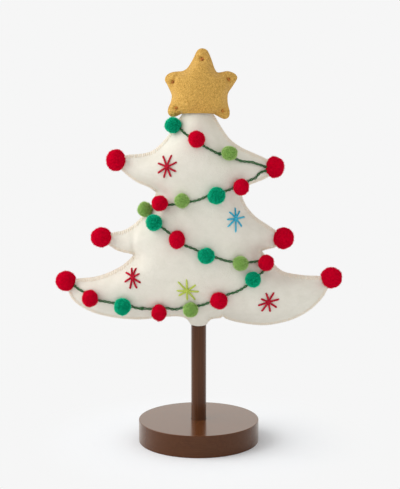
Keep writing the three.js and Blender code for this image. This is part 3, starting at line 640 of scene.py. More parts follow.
def panel(name, rim, under, facing, thickness, step, creases, lip, crown):
    """A felt panel over one side of what is under it. The rim's points hold sideways, rise and
    upwards, in order to the left round the panel. Facing is -1 for the front, 1 for the back,
    the lip is how far its cut edge is rounded, and the crown is how high and over what width the
    panel bulges inside its edge."""
    count = len(rim)
    edge = rim[:, [0, 2]]
    tangent = unit(np.roll(edge, -1, axis=0) - np.roll(edge, 1, axis=0))
    outward = np.stack([tangent[:, 1], -tangent[:, 0]], axis=1)
    near = KDTree(count)
    for i, (across, up) in enumerate(edge):
        near.insert((across, up, 0), i)
    near.balance()
    spots, cells = panel_cells(edge, near, step)
    below = panel_heights(spots, cells, rim, near, under, facing, step, creases, crown)
    spots[:count] -= lip * outward
    skin = np.stack([spots[:, 0], below, spots[:, 1]], axis=1)
    above = below + stretched_thickness(skin, cells, thickness)

    def layer(at, heights):
        return np.stack([at[:, 0], facing * heights, at[:, 1]], axis=1)

    walls = [
        layer(edge, below[:count] + share * (above[:count] - below[:count])) for share in EDGE_SHARES
    ]
    total = len(spots)
    starts = 0, 2 * total, 2 * total + count, total
    faces = [*cells.tolist(), *(cells[:, ::-1] + total).tolist()]
    for upper, lower in zip(starts, starts[1:]):
        for i in range(count):
            after = (i + 1) % count
            faces.append((upper + i, upper + after, lower + after, lower + i))
    mesh = bpy.data.meshes.new(name)
    corners = np.concatenate([layer(spots, above), layer(spots, below), *walls])
    mesh.from_pydata(corners.tolist(), [], faces)
    piece = add_piece(name, mesh)
    bpy.ops.object.mode_set(mode="EDIT")
    bpy.ops.mesh.select_all(action="SELECT")
    bpy.ops.mesh.normals_make_consistent(inside=False)
    bpy.ops.object.mode_set(mode="OBJECT")
    mesh.shade_smooth()
    return piece


tree_low, tree_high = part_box("tree_front_felt")
tip_low, tip_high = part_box("tip_ball_lower_right")
half_width = (tip_low.x + tip_high.x) / 2
hem_level = tree_low.z
tree_height = tree_high.z - tree_low.z


def on_tree(across, up):
    """A place on the tree's middle plane, from its shares of the half width and the height."""
    return Vector((across * half_width, 0, hem_level + up * tree_height))


def edge_of(runs):
    """The points along runs of the tree's edge, between which it has sharp corners."""
    return np.concatenate([smooth_run([on_tree(*s) for s in run], TREE_STEP) for run in runs])


left_edge = edge_of(TREE_TOP_TO_HEM_RUNS)
right_edge = edge_of(TREE_HEM_TO_TOP_RUNS)
hem_ends = on_tree(*TREE_TOP_TO_HEM_RUNS[-1][-1]), on_tree(*TREE_HEM_TO_TOP_RUNS[0][0])
tree_hem = hem_arch(*hem_ends, HEM_RISE, HEM_DROP, TREE_STEP)
tree_rim = np.concatenate([left_edge, tree_hem, right_edge])
cream_felt = felt(
    "cream_wool_felt",
    FELT_CREAM,
    FELT_CREAM_SHADE,
    clump=FELT_CLUMP,
    fibre_width=FELT_GRAIN,
    swirl=0,
    nap=0.55 * MM,
    gloss=0.15,
    rough=0.95,
    bloom=0.3,
    tint=FELT_CREAM,
)


def ball_in(node):
    """The middle and radius of the ball that a node was cut from: most of its corners lie on it."""
    corners = corners_of(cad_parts[node].data).astype(float)
    for _ in range(BALL_FIT_ROUNDS):
        system = np.c_[2 * corners, np.ones(len(corners))]
        answer = np.linalg.lstsq(system, (corners**2).sum(axis=1), rcond=None)[0]
        radius = math.sqrt(answer[3] + answer[:3] @ answer[:3])
        off = np.abs(np.linalg.norm(corners - answer[:3], axis=1) - radius)
        corners = corners[off <= max(np.quantile(off, BALL_FIT_SHARE), BALL_FIT_ERROR)]
    return Vector(answer[:3]), radius


ball_nodes = sorted(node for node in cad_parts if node.startswith("garland_ball"))
balls = {node: ball_in(node) for node in ball_nodes}
dents = [dent(middle, *BALL_DENT) for middle, _ in balls.values()]
tree_panels = {}
for side, facing in SIDES.items():
    creases = TREE_CREASES + dents if side == "front" else []
    tree_panels[side] = panel(
        f"tree_{side}_panel",
        tree_rim,
        [tree_swell],
        facing,
        FELT_THICKNESS,
        TREE_STEP,
        creases,
        TREE_LIP,
        TREE_CROWN,
    )
    dress(tree_panels[side], cream_felt, "cream_felt", f"tree_{side}_felt")
    press_under(tree_filling, tree_panels[side], facing)
tree_skin = {side: ray_tree(piece) for side, piece in tree_panels.items()}

# Star: filling, felt panels and knots
# A golden wool-felt star, sewn inside out, turned and stuffed, and pulled over the top of the
# tree. A knotted stitch through both panels draws each point in.
STAR_SHARES = [
    (0.217, 0.0), (0.269, -0.032), (0.329, -0.067), (0.379, -0.078), (0.423, -0.051),
    (0.439, -0.002), (0.436, 0.06), (0.421, 0.121), (0.411, 0.183), (0.409, 0.273),
    (0.423, 0.335), (0.46, 0.395), (0.496, 0.456), (0.531, 0.517), (0.543, 0.565),
    (0.514, 0.611), (0.466, 0.641), (0.404, 0.657), (0.321, 0.641), (0.267, 0.638),
    (0.241, 0.668), (0.216, 0.729), (0.189, 0.819), (0.156, 0.91), (0.121, 0.976),
    (0.06, 1.003), (0.004, 0.987), (-0.03, 0.94), (-0.056, 0.879), (-0.1, 0.789),
    (-0.153, 0.702), (-0.216, 0.659), (-0.284, 0.652), (-0.36, 0.641), (-0.42, 0.611),
    (-0.456, 0.565), (-0.463, 0.51), (-0.436, 0.456), (-0.384, 0.335), (-0.369, 0.273),
    (-0.384, 0.183), (-0.419, 0.09), (-0.423, 0.014), (-0.383, -0.038), (-0.327, -0.044),
    (-0.266, -0.016), (-0.237, 0.0),
]
STAR_THICKNESS = 1.3 * MM
STAR_STEP = 1.1 * MM
STAR_VOXEL = 2.2 * MM
STAR_FILLING_CAP = 1.2 * MM
STAR_EASE = 0.5 * MM  # between the hem and the tree
STAR_LIP = 0.5 * MM
STAR_CROWN = (5 * MM, 18 * MM)  # how high its felts swell beyond the filling, over what width
STAR_HEM_LIFT = 1.2 * MM  # where the stretched lower edge rides up over the top of the tree
KNOT_DIMPLE = (4.2, 2.6)  # how deep and how wide a knot draws the felt in, in millimetres
# Creases that the drawn points throw, as those of the tree are given
STAR_CREASES = [
    ((-23.3, 358.6), (-19.0, 366.0), 3.0, 1.6),
    ((-24.5, 356.0), (-25.2, 349.0), 2.0, 1.8),
    ((26.9, 360.4), (18.8, 366.5), 3.0, 1.6),
    ((28.0, 358.0), (28.2, 349.0), 2.0, 1.8),
    ((3.3, 379.8), (4.3, 385.0), 1.2, 1.4),
    ((2.2, 379.2), (-3.0, 382.5), 1.0, 1.6),
    ((-21.5, 334.0), (-25.5, 342.0), 1.2, 1.6),
    ((-20.0, 331.8), (-16.1, 327.0), 1.6, 1.6),
    ((23.6, 331.2), (28.6, 333.6), 1.2, 1.6),
    ((21.4, 329.8), (14.8, 327.0), 1.4, 1.6),
]
KNOT_STEPS = 60
STITCH_RING = 1.55 * MM  # the radius at which a knot's thread comes up
STITCH_RING_THREAD = 1.1 * MM
STITCH_RING_LIFT = 0.5 * MM
STITCH_RING_STEPS = 26
STITCH_RING_TURNS = (1.3, 0.75, 1.2, 0.8, 1.35)
STITCH_RING_STARTS = 1.1  # radians that each ring starts further round than the last
STITCH_RING_NARROWING = 0.35  # of the radius, which it has lost where it goes down
STITCH_RING_DIVE = 1.65 * MM  # how deep both ends of the thread go down
STITCH_RING_DIVE_SHARE = 0.25  # of each half of the way, where it goes down
FELT_GOLD = "#fbcb6e"
FELT_GOLD_SHADE = "#bb8838"
FELT_GOLD_BLOOM = "#ffdc98"
GOLD_CLUMP = 1.3 * MM
GOLD_GRAIN = 1.0 * MM
TWILL_PITCH = 1.4 * MM  # a little coarser than the cloth's, so that it shows
TWILL_DEPTH = 0.35 * MM
KNOT_ORANGE = "#f2a04c"
# painted shade: dark brown patches, laid at random along the knots' thread, stand in for the shade in
# the hole each knot draws in
KNOT_BROWN_PAINTED_SHADE = "#6a2f10"
KNOT_SHADE_PATCH = 1.6 * MM
THREAD_RELIEF = 0.08 * MM

star_low, star_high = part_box("star_front_felt")
share_low = np.min(STAR_SHARES, axis=0)
share_high = np.max(STAR_SHARES, axis=0)


def on_star(across, up):
    """A place on the star's middle plane, from its shares of the star's width and height."""
    share = (np.array((across, up)) - share_low) / (share_high - share_low)
    x = star_low.x + share[0] * (star_high.x - star_low.x)
    return Vector((x, 0, star_low.z + share[1] * (star_high.z - star_low.z)))


def knot(middle, radius, lean=0.0):
    """The way of a thread through an overhand knot that lies on the front."""
    turn = np.linspace(0, math.tau, KNOT_STEPS)
    across = (np.sin(turn + lean) + 2 * np.sin(2 * turn + lean)) / 3
    up = (np.cos(turn) - 2 * np.cos(2 * turn)) / 3
    rise = -np.sin(3 * turn) / 3
    return np.array(middle) + radius * np.stack([across, rise, up], axis=1)


def laid_on(skin, facing, across, up, lift):
    """A place on the skin of a panel, seen from the front or the back, and lifted off it."""
    start = Vector((across, facing, up))
    hit, normal, _, _ = skin.ray_cast(start, Vector((0, -facing, 0)))
    if hit is None:
        return Vector((across, facing * (PANEL_GAP + FELT_THICKNESS + lift), up))
    return hit + normal * lift


def stitched_ring(skin, spot, turns, start):
    """The way of a thread that comes up, turns round a spot and goes down again."""
    way = []
    for share in np.linspace(0, 1, STITCH_RING_STEPS):
        angle = start + turns * math.tau * share
        wide = STITCH_RING * (1 - STITCH_RING_NARROWING * share)
        dive = 1 - (1 - abs(2 * share - 1)) / STITCH_RING_DIVE_SHARE
        lift = STITCH_RING_LIFT * (1 + share) - STITCH_RING_DIVE * max(0, dive)
        place = spot.x + wide * math.cos(angle), spot.z + wide * math.sin(angle)
        way.append(laid_on(skin, SIDES["front"], *place, lift))
    return way


def laid_threads(name, ways, width):
    """Threads that follow ways of places, as one mesh of closed round tubes."""
    curve = bpy.data.curves.new(name, "CURVE")
    curve.dimensions = "3D"
    curve.bevel_depth = width / 2
    curve.bevel_resolution = 1
    curve.use_fill_caps = True
    for way in ways:
        spline = curve.splines.new("POLY")
        spline.points.add(len(way) - 1)
        spline.points.foreach_set("co", np.c_[way, np.ones(len(way))].ravel())
    add_piece(name, curve)
    bpy.ops.object.convert(target="MESH")
    piece = bpy.context.object
    piece.data.shade_smooth()
    return piece


def spun_thread(name, colour, shade, fibre_width):
    """Spun and twisted thread: fibres that run together give it a soft, broken gloss."""
    cotton, shader, places = new_material(
        name, roughness=0.7, specular_ior_level=0.25, sheen_weight=0.15, sheen_tint=linear(colour)
    )
    pattern = {"Detail": 3, "Distortion": 0.8}
    strands, tone = mottle(cotton, places, fibre_width, 0.15, shade, colour, pattern)
    bump = add_node(cotton, "Bump", {"Height": strands, "Distance": THREAD_RELIEF})
    join(cotton, tone, shader, "Base Color")
    join(cotton, bump.outputs[0], shader, "Normal")
    return cotton


def twilled_felt():
    """Golden wool cloth, milled until it is nearly felt: its twill still shows under the nap and
    runs down to the right."""
    cloth = felt(
        "golden_milled_wool",
        FELT_GOLD,
        FELT_GOLD_SHADE,
        clump=GOLD_CLUMP,
        fibre_width=GOLD_GRAIN,
        swirl=0.3,
        nap=0.6 * MM,
        gloss=0.1,
        rough=0.6,
        bloom=0.12,
        tint=FELT_GOLD_BLOOM,
    )
    nodes = cloth.node_tree.nodes
    shader = nodes["Principled BSDF"]
    nap = shader.inputs["Normal"].links[0].from_socket
    waves = {
        "Vector": nodes["Texture Coordinate"].outputs["Object"],
        "Scale": math.tau / (10 * math.sqrt(2) * TWILL_PITCH),
        "Distortion": 2,
        "Detail": 2,
        "Detail Scale": 2,
    }
    lines = add_node(cloth, "TexWave", waves, bands_direction="DIAGONAL")
    relief = {"Height": lines.outputs["Fac"], "Distance": TWILL_DEPTH, "Normal": nap}
    twill = add_node(cloth, "Bump", relief)
    join(cloth, twill.outputs[0], shader, "Normal")
    return cloth


star_level = on_star(*STAR_SHARES[0])
neck = {}
for side, facing in SIDES.items():
    start = Vector((0, facing, star_level.z))
    neck[side] = facing * tree_skin[side].ray_cast(start, Vector((0, -facing, 0)))[0].y
star_run = smooth_run([on_star(*share) for share in STAR_SHARES], STAR_STEP)
star_filling = swollen_filling("star_filling", "star_stuffing", STAR_VOXEL, STAR_FILLING_CAP)
star_swell = ray_tree(star_filling)
dress(star_filling, fibre, "stuffing", "star_stuffing")
knot_nodes = sorted(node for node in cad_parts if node.startswith("star_knot"))
knot_spots = {node: sum(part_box(node), Vector()) / 2 for node in knot_nodes}
star_dimples = [dent(spot, *KNOT_DIMPLE) for spot in knot_spots.values()]
gold_felt = twilled_felt()
star_panels = {}
for side, facing in SIDES.items():
    ends = on_star(*STAR_SHARES[-1]), on_star(*STAR_SHARES[0])
    arch = hem_arch(*ends, neck[side] + STAR_EASE, -STAR_HEM_LIFT, STAR_STEP)
    star_panels[side] = panel(
        f"star_{side}_panel",
        np.concatenate([star_run, arch]),
        [star_swell, tree_skin[side]],
        facing,
        STAR_THICKNESS,
        STAR_STEP,
        star_dimples + STAR_CREASES,
        STAR_LIP,
        STAR_CROWN,
    )
    dress(star_panels[side], gold_felt, "gold_felt", f"star_{side}_felt")
    press_under(star_filling, star_panels[side], facing)

# painted shade: the thread's brown patches stand in for the shade inside each knot
knot_thread = spun_thread("waxed_linen_thread", KNOT_ORANGE, KNOT_BROWN_PAINTED_SHADE, KNOT_SHADE_PATCH)
star_skin = ray_tree(star_panels["front"])
for number, (node, spot) in enumerate(knot_spots.items()):
    way = stitched_ring(star_skin, spot, STITCH_RING_TURNS[number], STITCH_RING_STARTS * number)
    piece = laid_threads(node.replace("star_knot", "star_stitch"), [way], STITCH_RING_THREAD)
    dress(piece, knot_thread, "knot_thread", node)

# Seam of the tree
# Beige cotton is overcast round the edges of the two panels, from the front over the edge to the
# back, and draws them together. The stitches lean a little, and stop at the hem and the star.
STITCH_PITCH = 2.0 * MM
STITCH_THREAD = 1.45 * MM
STITCH_REACH = 2.5 * MM
STITCH_SHARES = (1, 0.95, 0.6, 0.25)  # of the reach, from where a stitch goes in to the edge
STITCH_LEAN = 0.85 * MM
STITCH_STRAY = 0.15  # of the pitch, by which a stitch misses its place
STITCH_UNEVEN = (0.9, 1.1)  # of the reach, the shortest and the longest stitch
STITCH_SEED = 4
STITCH_WRAP = 0.7 * FELT_THICKNESS  # how far from the middle plane it bends over the edge
STITCH_SINK = 0.9 * MM
STITCH_LIFT = -0.15 * MM  # the flat floss is pulled into the felt
BALL_COVER = 8.5 * MM  # how near to the middle of a tip ball the stitches stop
COTTON_BEIGE = "#f4eadb"
COTTON_SHADE = "#e6d8c2"
COTTON_FIBRE = 0.8 * MM


def overcast(edge, keep):
    """The ways of the stitches over an edge, whose places hold sideways, zero and upwards."""
    chance = random.Random(STITCH_SEED)
    edge = edge[:, [0, 2]]
    along = np.r_[0, np.cumsum(np.linalg.norm(np.diff(edge, axis=0), axis=1))]
    tangent = unit(np.gradient(edge, axis=0))
    ways = []
    for stop in np.arange(STITCH_PITCH, along[-1] - STITCH_PITCH, STITCH_PITCH):
        stop += chance.uniform(-STITCH_STRAY, STITCH_STRAY) * STITCH_PITCH
        spot = np.array([np.interp(stop, along, edge[:, i]) for i in range(2)])
        if not keep(spot):
            continue
        turn = np.array([np.interp(stop, along, tangent[:, i]) for i in range(2)])
        turn /= np.linalg.norm(turn)
        out = np.array((turn[1], -turn[0]))
        reach = STITCH_REACH * chance.uniform(*STITCH_UNEVEN)
        halves = {}
        for side, facing in SIDES.items():
            halves[side] = []
            for share in STITCH_SHARES:
                x, z = spot - out * reach * share - facing * turn * STITCH_LEAN * share
                lift = STITCH_LIFT if share < 1 else -STITCH_SINK
                halves[side].append(laid_on(tree_skin[side], facing, x, z, lift))
        x, z = spot + out * STITCH_LIFT
        rise = PANEL_GAP + STITCH_WRAP
        over = [Vector((x, y, z)) for y in (-rise, 0, rise)]
        ways.append([*halves["front"], *over, *reversed(halves["back"])])
    return ways


tips = {node: ball_in(node) for node in sorted(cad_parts) if node.startswith("tip_ball")}
tip_places = [np.array((middle.x, middle.z)) for middle, _ in tips.values()]
stitch_ways = overcast(
    np.concatenate([right_edge, left_edge]),
    lambda spot: spot[1] < star_level.z - STITCH_PITCH
    and all(np.linalg.norm(spot - place) > BALL_COVER for place in tip_places),
)
beige_cotton = spun_thread("beige_cotton_thread", COTTON_BEIGE, COTTON_SHADE, COTTON_FIBRE)
seam = laid_threads("tree_overcast_seam", stitch_ways, STITCH_THREAD)
dress(seam, beige_cotton, "cream_felt")

# Garland cord
# Dark green wool cord of two plies, twisted and lightly felted. It is stitched down in loops on
# the front of the tree, runs under the balls, and has a small knot in two places.
CORD_SHARES = [
    (-0.165, 0.85), (-0.136, 0.84), (-0.07, 0.808), (-0.016, 0.792), (0.032, 0.771),
    (0.097, 0.751), (0.149, 0.736), (0.222, 0.725), (0.259, 0.714), (0.325, 0.702),
    (0.391, 0.697), (0.459, 0.684), (0.496, 0.677), (0.524, 0.681), (0.545, 0.671),
    (0.524, 0.659), (0.496, 0.66), (0.444, 0.652), (0.408, 0.633), (0.364, 0.623),
    (0.312, 0.606), (0.252, 0.596), (0.193, 0.584), (0.13, 0.572), (0.072, 0.567),
    (0.003, 0.55), (-0.063, 0.541), (-0.123, 0.533), (-0.177, 0.529), (-0.225, 0.525),
    (-0.285, 0.521), (-0.335, 0.513), (-0.358, 0.493), (-0.358, 0.472), (-0.336, 0.45),
    (-0.276, 0.435), (-0.203, 0.405), (-0.159, 0.38), (-0.1, 0.361), (0.003, 0.336),
    (0.054, 0.319), (0.12, 0.311), (0.186, 0.298), (0.253, 0.29), (0.312, 0.284),
    (0.379, 0.284), (0.44, 0.283), (0.483, 0.271), (0.491, 0.25), (0.446, 0.232),
    (0.401, 0.21), (0.36, 0.192), (0.29, 0.167), (0.202, 0.149), (0.151, 0.133),
    (0.091, 0.122), (0.04, 0.11), (-0.012, 0.103), (-0.064, 0.098), (-0.109, 0.098),
    (-0.154, 0.089), (-0.191, 0.087), (-0.239, 0.093), (-0.295, 0.091), (-0.348, 0.088),
    (-0.415, 0.089), (-0.467, 0.091), (-0.503, 0.099), (-0.566, 0.104), (-0.626, 0.111),
    (-0.689, 0.115), (-0.748, 0.121), (-0.807, 0.136), (-0.86, 0.152), (-0.914, 0.166),
    (-0.942, 0.173),
]
CORD_STEP = 0.5 * MM
CORD_PLY = 1.15 * MM
CORD_TWIST = 9 * MM
CORD_PLIES = 2
CORD_OFF_AXIS = 0.75 * MM
CORD_LIFT = 1.2 * MM
CORD_WANDER = 0.5 * MM  # how far the laid cord strays from its drawn line
CORD_WANDER_LENGTH = 7 * MM
CORD_KNOTS = [(19.4, 289.0), (-55.0, 139.1)]  # millimetres from the trunk's line and the table
CORD_KNOT_RADIUS = 1.5 * MM
CORD_KNOT_LIFT = 1.6 * MM
CORD_FIBRE = 0.7 * MM
CORD_GREEN = "#42864c"
CORD_DARK = "#06200a"


def on_front(across, up, lift):
    """A place on the felt of the tree's front, lifted off it."""
    return laid_on(tree_skin["front"], SIDES["front"], across, up, lift)


def twisted(way, plies, off_axis, pitch):
    """The ways of the plies that are twisted round a way."""
    way = np.array(way)
    tangent = np.gradient(way, axis=0)
    length = np.linalg.norm(tangent, axis=1, keepdims=True)
    tangent /= length
    across = unit(np.cross(tangent, (0, 1, 0)))
    off = np.cross(tangent, across)
    turn = np.cumsum(length) * math.tau / pitch
    return [
        way + off_axis * (np.cos(turn + start)[:, None] * across + np.sin(turn + start)[:, None] * off)
        for start in np.arange(plies) * math.tau / plies
    ]


cord_run = smooth_run([on_tree(*share) for share in CORD_SHARES], CORD_STEP)
for i, spot in enumerate(cord_run):
    here = i * CORD_STEP / CORD_WANDER_LENGTH
    spot[0] += CORD_WANDER * noise.noise(Vector((here, 0, 0)))
    spot[2] += CORD_WANDER * noise.noise(Vector((here, 5, 0)))
cord_way = [on_front(x, z, CORD_LIFT) for x, _, z in cord_run]
cord_ways = twisted(cord_way, CORD_PLIES, CORD_OFF_AXIS, CORD_TWIST)
for across, up in CORD_KNOTS:
    cord_ways.append(knot(on_front(across * MM, up * MM, CORD_KNOT_LIFT), CORD_KNOT_RADIUS))
green_wool = spun_thread("green_wool_cord", CORD_GREEN, CORD_DARK, CORD_FIBRE)
cord = laid_threads("garland_twisted_cord", cord_ways, CORD_PLY)
dress(cord, green_wool, "garland_cord", "garland_cord")

# Balls of the garland and of the tips
# Balls of dyed wool roving, felted wet by rolling, so that none is quite round and the matted
# fibres swirl. The garland's are strung on the cord, and a larger red one is sewn on each tip.
BALL_LUMPS = ((6 * MM, 1.4 * MM), (1.6 * MM, 0.6 * MM))  # how wide and how high they are
BALL_CORE = 0.94  # of a ball's size, without its fuzz
FUZZ_SHARE = 0.36  # of the faces of a ball that a tuft of fibres stands on
FUZZ_LENGTH = (0.6 * MM, 1.9 * MM)
FUZZ_RADIUS = 0.24 * MM  # coarser than wool, so that the tufts show
FUZZ_LEAN = 0.8
FUZZ_PAINTED_LIGHT = (0.4, 1.9)  # painted light: how much of the dye's pale tone a tuft takes at its foot and at its tip
BALL_CLUMP = 1.8 * MM
BALL_FIBRE = 0.8 * MM
# The width and height of each ball, in shares of its solid's and with its fuzz: the garland's in
# their order, and the tips' from the lowest to the highest, each time the left one first
GARLAND_STRETCH = [
    (1.08, 1.06), (1.09, 1.09), (1.03, 0.92), (1.02, 1.09), (1.14, 1.11), (0.96, 0.94), (1.03, 1.03),
    (0.94, 1.0), (1.08, 1.09), (1.05, 1.19), (1.1, 1.05), (1.02, 0.95), (1.02, 1.07), (1.02, 1.04),
    (1.12, 1.12), (0.98, 0.97), (1.0, 1.1), (1.11, 1.15), (1.05, 1.15),
]
TIP_STRETCH = [(1.05, 1.03), (1.1, 1.08), (1.07, 1.0), (1.1, 1.1), (1.0, 1.1), (0.97, 1.08)]
# The colour, the shade and the pale tone of each dye, and the slot of its felt; the pale tone is
# painted light on the tufts
DYES = {
    "red": ("#e4002c", "#ac001e", "#ff163f", "red_felt"),
    "teal": ("#009066", "#006446", "#26f0ba", "teal_felt"),
    "light_green": ("#86b654", "#527a2e", "#ccf094", "light_green_felt"),
}


def fuzzy_felt(name, colour, shade, tip):
    """Felted wool whose tufts are painted lighter toward their tips: painted light, for the light that
    loose fibres catch.
    """
    wool = felt(
        name,
        colour,
        shade,
        clump=BALL_CLUMP,
        fibre_width=BALL_FIBRE,
        swirl=1.5,
        nap=0.6 * MM,
        gloss=0,
        rough=0.95,
        bloom=0.4,
        tint=tip,
    )
    shader = wool.node_tree.nodes["Principled BSDF"]
    core = shader.inputs["Base Color"].links[0].from_socket
    # painted light: each tuft is mixed toward the pale tone by the attribute tip
    out = add_node(wool, "Attribute", {}, attribute_name="tip")
    tones = {0: out.outputs["Fac"], 6: core, 7: linear(tip)}
    tone = add_node(wool, "Mix", tones, data_type="RGBA")
    join(wool, tone.outputs[2], shader, "Base Color")
    return wool


def raise_fuzz(ball, chance):
    """Tufts stand up from a felted ball, each a thin closed spike that leans its own way. The
    attribute tip holds how much of the pale tone, which is painted light, each corner of a tuft takes."""
    mesh = bmesh.new()
    mesh.from_mesh(ball.data)
    out = mesh.verts.layers.float.new("tip")
    for face in chance.sample(list(mesh.faces), round(len(mesh.faces) * FUZZ_SHARE)):
        root = face.calc_center_median() - face.normal * FUZZ_RADIUS
        lean = Vector([chance.uniform(-1, 1) for _ in range(3)]) * FUZZ_LEAN
        way = (face.normal + lean).normalized()
        across = way.orthogonal().normalized()
        feet = [Matrix.Rotation(turn * math.tau / 3, 3, way) @ across for turn in range(3)]
        feet = [mesh.verts.new(root + foot * FUZZ_RADIUS) for foot in feet]
        tip = mesh.verts.new(root + way * chance.uniform(*FUZZ_LENGTH))
        for corner, pale in zip((*feet, tip), (*[FUZZ_PAINTED_LIGHT[0]] * 3, FUZZ_PAINTED_LIGHT[1])):
            corner[out] = pale
        mesh.faces.new(reversed(feet))
        for near, far in zip(feet, feet[1:] + feet[:1]):
            mesh.faces.new((near, far, tip))
    mesh.to_mesh(ball.data)
    mesh.free()


def felted_ball(name, node, middle, radius, stretch, material, slot):
    """A ball that rolling has left a little lumpy, and a little wider or taller than it should."""
    ball = primitive(
        bpy.ops.mesh.primitive_ico_sphere_add, name, subdivisions=5, radius=radius, location=middle
    )
    wide, tall = BALL_CORE * np.array(stretch)
    bpy.ops.object.mode_set(mode="EDIT")
    bpy.ops.mesh.select_all(action="SELECT")
    bpy.ops.transform.resize(value=(wide, (wide + tall) / 2, tall), center_override=middle)
    bpy.ops.object.mode_set(mode="OBJECT")
    for size, height in BALL_LUMPS:
        lumps = bpy.data.textures.new("lumps", "CLOUDS")
        lumps.noise_scale = size
        apply_modifier(ball, "DISPLACE", texture=lumps, strength=height, texture_coords="LOCAL")
    raise_fuzz(ball, random.Random(name))
    ball.data.shade_smooth()
    dress(ball, material, slot, node)


ball_felts = {}
for dye, (colour, shade, tip, slot) in DYES.items():
    ball_felts[dye] = fuzzy_felt(f"{dye}_felted_wool", colour, shade, tip), slot
for (node, place), stretch in zip(balls.items(), GARLAND_STRETCH):
    wool = ball_felts[node.split("_", 3)[3]]
    felted_ball(node.replace("garland_ball", "felted_ball"), node, *place, stretch, *wool)
for (node, place), stretch in zip(tips.items(), TIP_STRETCH):
    felted_ball(node.replace("tip_ball", "felted_tip"), node, *place, stretch, *ball_felts["red"])

# Snowflakes
# Embroidered on the front with two plies of cotton floss: eight long stitches that run out from
# the middle, each laid by hand, so that no two are alike, and a knot where they meet.
FLAKE_SEED = 7
FLAKE_PLIES = 2
FLAKE_OFF_AXIS = 0.45 * MM
FLAKE_TWIST = 3.4 * MM
FLAKE_STEPS = 14
FLAKE_BOW = 0.7 * MM  # how far a stitch bends sideways, at most
FLAKE_LIFT = (1.0 * MM, 0.5 * MM)  # at the middle, and where a stitch goes in
FLAKE_SINK = 0.5 * MM
FLAKE_KNOT_RADIUS = 1.0 * MM
FLAKE_KNOT_LIFT = 1.2 * MM
FLOSS_FIBRE = 0.6 * MM
# The colour and the shade of each floss, its slot, and the width of a ply in millimetres
FLOSS = {
    "red": ("#f00038", "#5a000e", "red_thread", 1.45),
    "blue": ("#5cdcf2", "#107ca8", "blue_thread", 1.15),
    "lime": ("#dbe66c", "#a2b73e", "lime_thread", 1.25),
}
# The end of each stitch, in millimetres to the right of the middle and above it
FLAKE_ENDS = {
    "snowflake_red_upper": (
        (-8.8, -5.9), (9, 4.5), (-4.1, 9.9), (4.4, 10.8),
        (-8.5, 3), (8.3, -4.1), (-3.2, -10.3), (3.6, -9),
    ),
    "snowflake_blue": (
        (-0.5, 10), (0.1, -12.5), (-8, -0.3), (8.9, 0.6),
        (-5.9, 6.7), (4.2, 6.7), (-7.3, -7.2), (5.9, -7.8),
    ),
    "snowflake_red_left": (
        (-1.2, 7.6), (3.5, 8.1), (-6.7, 3.2), (6.6, 3.5),
        (-7.5, -5), (7.6, -4.7), (-2.3, -10.8), (4.1, -10.2),
    ),
    "snowflake_red_right": (
        (-2.4, 8.7), (5.1, 9), (-7, 3.1), (10.2, 2.4),
        (-9.7, -3.3), (7.9, -5.6), (-6.4, -9.4), (1.9, -9.9),
    ),
    "snowflake_lime": (
        (-0.5, 11), (-8.5, 8.8), (8.3, 5.8), (-9.5, 0),
        (11.2, -0.8), (-7.8, -4.8), (7.8, -8.8), (0.1, -9.1),
    ),
}

chance = random.Random(FLAKE_SEED)
flosses = {}
for node, ends in FLAKE_ENDS.items():
    dye = node.split("_")[1]
    if dye not in flosses:
        colour, shade, slot, ply = FLOSS[dye]
        flosses[dye] = spun_thread(f"{dye}_cotton_floss", colour, shade, FLOSS_FIBRE), slot, ply * MM
    middle = sum(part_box(node), Vector()) / 2
    ways = []
    for across, up in ends:
        bow = chance.uniform(-1, 1) * FLAKE_BOW
        way = []
        for share in np.linspace(0, 1, FLAKE_STEPS):
            bend = bow * math.sin(math.pi * share)
            x = middle.x + across * MM * share + bend * (up > 0)
            z = middle.z + up * MM * share + bend * (across > 0)
            lift = np.interp(share, (0, 1), FLAKE_LIFT) if share < 1 else -FLAKE_SINK
            way.append(on_front(x, z, lift))
        ways += twisted(way, FLAKE_PLIES, FLAKE_OFF_AXIS, FLAKE_TWIST)
    seat = on_front(middle.x, middle.z, FLAKE_KNOT_LIFT)
    ways.append(knot(seat, FLAKE_KNOT_RADIUS, lean=chance.uniform(0, 3)))
    material, slot, ply = flosses[dye]
    flake = laid_threads(node.replace("snowflake", "stitched_snowflake"), ways, ply)
    dress(flake, material, slot, node)

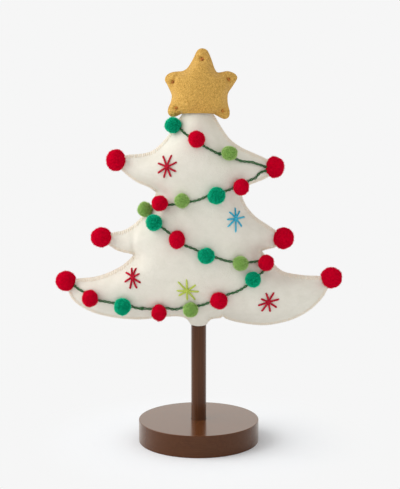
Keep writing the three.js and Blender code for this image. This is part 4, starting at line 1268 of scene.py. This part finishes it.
# Floor and light
# A pale paper sweep under one large soft light from the left, with even light from all around.
# The camera and the gloss see it nearly white. It keeps the shadow of the stand, which fades into
# the plain backdrop.
BACKDROP_WHITE = "#f6f6f6"
PAPER_WHITE = "#f7f9fb"
FLOOR_REACH = 40
FADE_START = 66 * MM  # from the middle of the base
FADE_END = 180 * MM
SUN_TURN = (math.radians(56), 0, math.radians(-85))
SUN_ANGLE = math.radians(60)
SUN_STRENGTH = 1.85
SKY_WHITE = "#ffffff"
SKY_STRENGTH = 0.71

floor = primitive(bpy.ops.mesh.primitive_plane_add, "floor", size=FLOOR_REACH)
paper, paper_shader, spots = new_material(
    "matt_paper", base_color=linear(PAPER_WHITE), roughness=1, specular_ior_level=0
)
paper_ray = add_node(paper, "LightPath", {})
away = add_node(paper, "VectorMath", {0: spots}, operation="LENGTH")
fade = {"Value": away.outputs["Value"], "From Min": FADE_START, "From Max": FADE_END}
faded = add_node(paper, "MapRange", fade, interpolation_type="SMOOTHSTEP")
factors = {0: faded.outputs[0], 1: paper_ray.outputs["Is Camera Ray"]}
seen_fade = add_node(paper, "Math", factors, operation="MULTIPLY")
plain = add_node(paper, "Emission", {"Color": linear(BACKDROP_WHITE), "Strength": 1})
sheets = {0: seen_fade.outputs[0], 1: paper_shader.outputs[0], 2: plain.outputs[0]}
paper_mix = add_node(paper, "MixShader", sheets)
paper_output = paper.node_tree.nodes["Material Output"]
join(paper, paper_mix.outputs[0], paper_output, "Surface")
floor.data.materials.append(paper)

bpy.ops.object.light_add(type="SUN", rotation=SUN_TURN)
bpy.context.object.data.energy = SUN_STRENGTH
bpy.context.object.data.angle = SUN_ANGLE

world = bpy.data.worlds.new("studio")
bpy.context.scene.world = world
world.use_nodes = True
world.node_tree.nodes.clear()
ray = add_node(world, "LightPath", {})
seen = ray.outputs["Is Camera Ray"]
for kind in ("Is Glossy Ray", "Is Transmission Ray"):
    rays = {0: seen, 1: ray.outputs[kind]}
    seen = add_node(world, "Math", rays, operation="MAXIMUM").outputs[0]
sky = {"Color": linear(SKY_WHITE), "Strength": SKY_STRENGTH}
lighting = add_node(world, "Background", sky)
backdrop = add_node(world, "Background", {"Color": linear(BACKDROP_WHITE), "Strength": 1})
layers = {0: seen, 1: lighting.outputs[0], 2: backdrop.outputs[0]}
mixed = add_node(world, "MixShader", layers)
add_node(world, "OutputWorld", {"Surface": mixed.outputs[0]})
bpy.context.scene.view_settings.view_transform = "Standard"
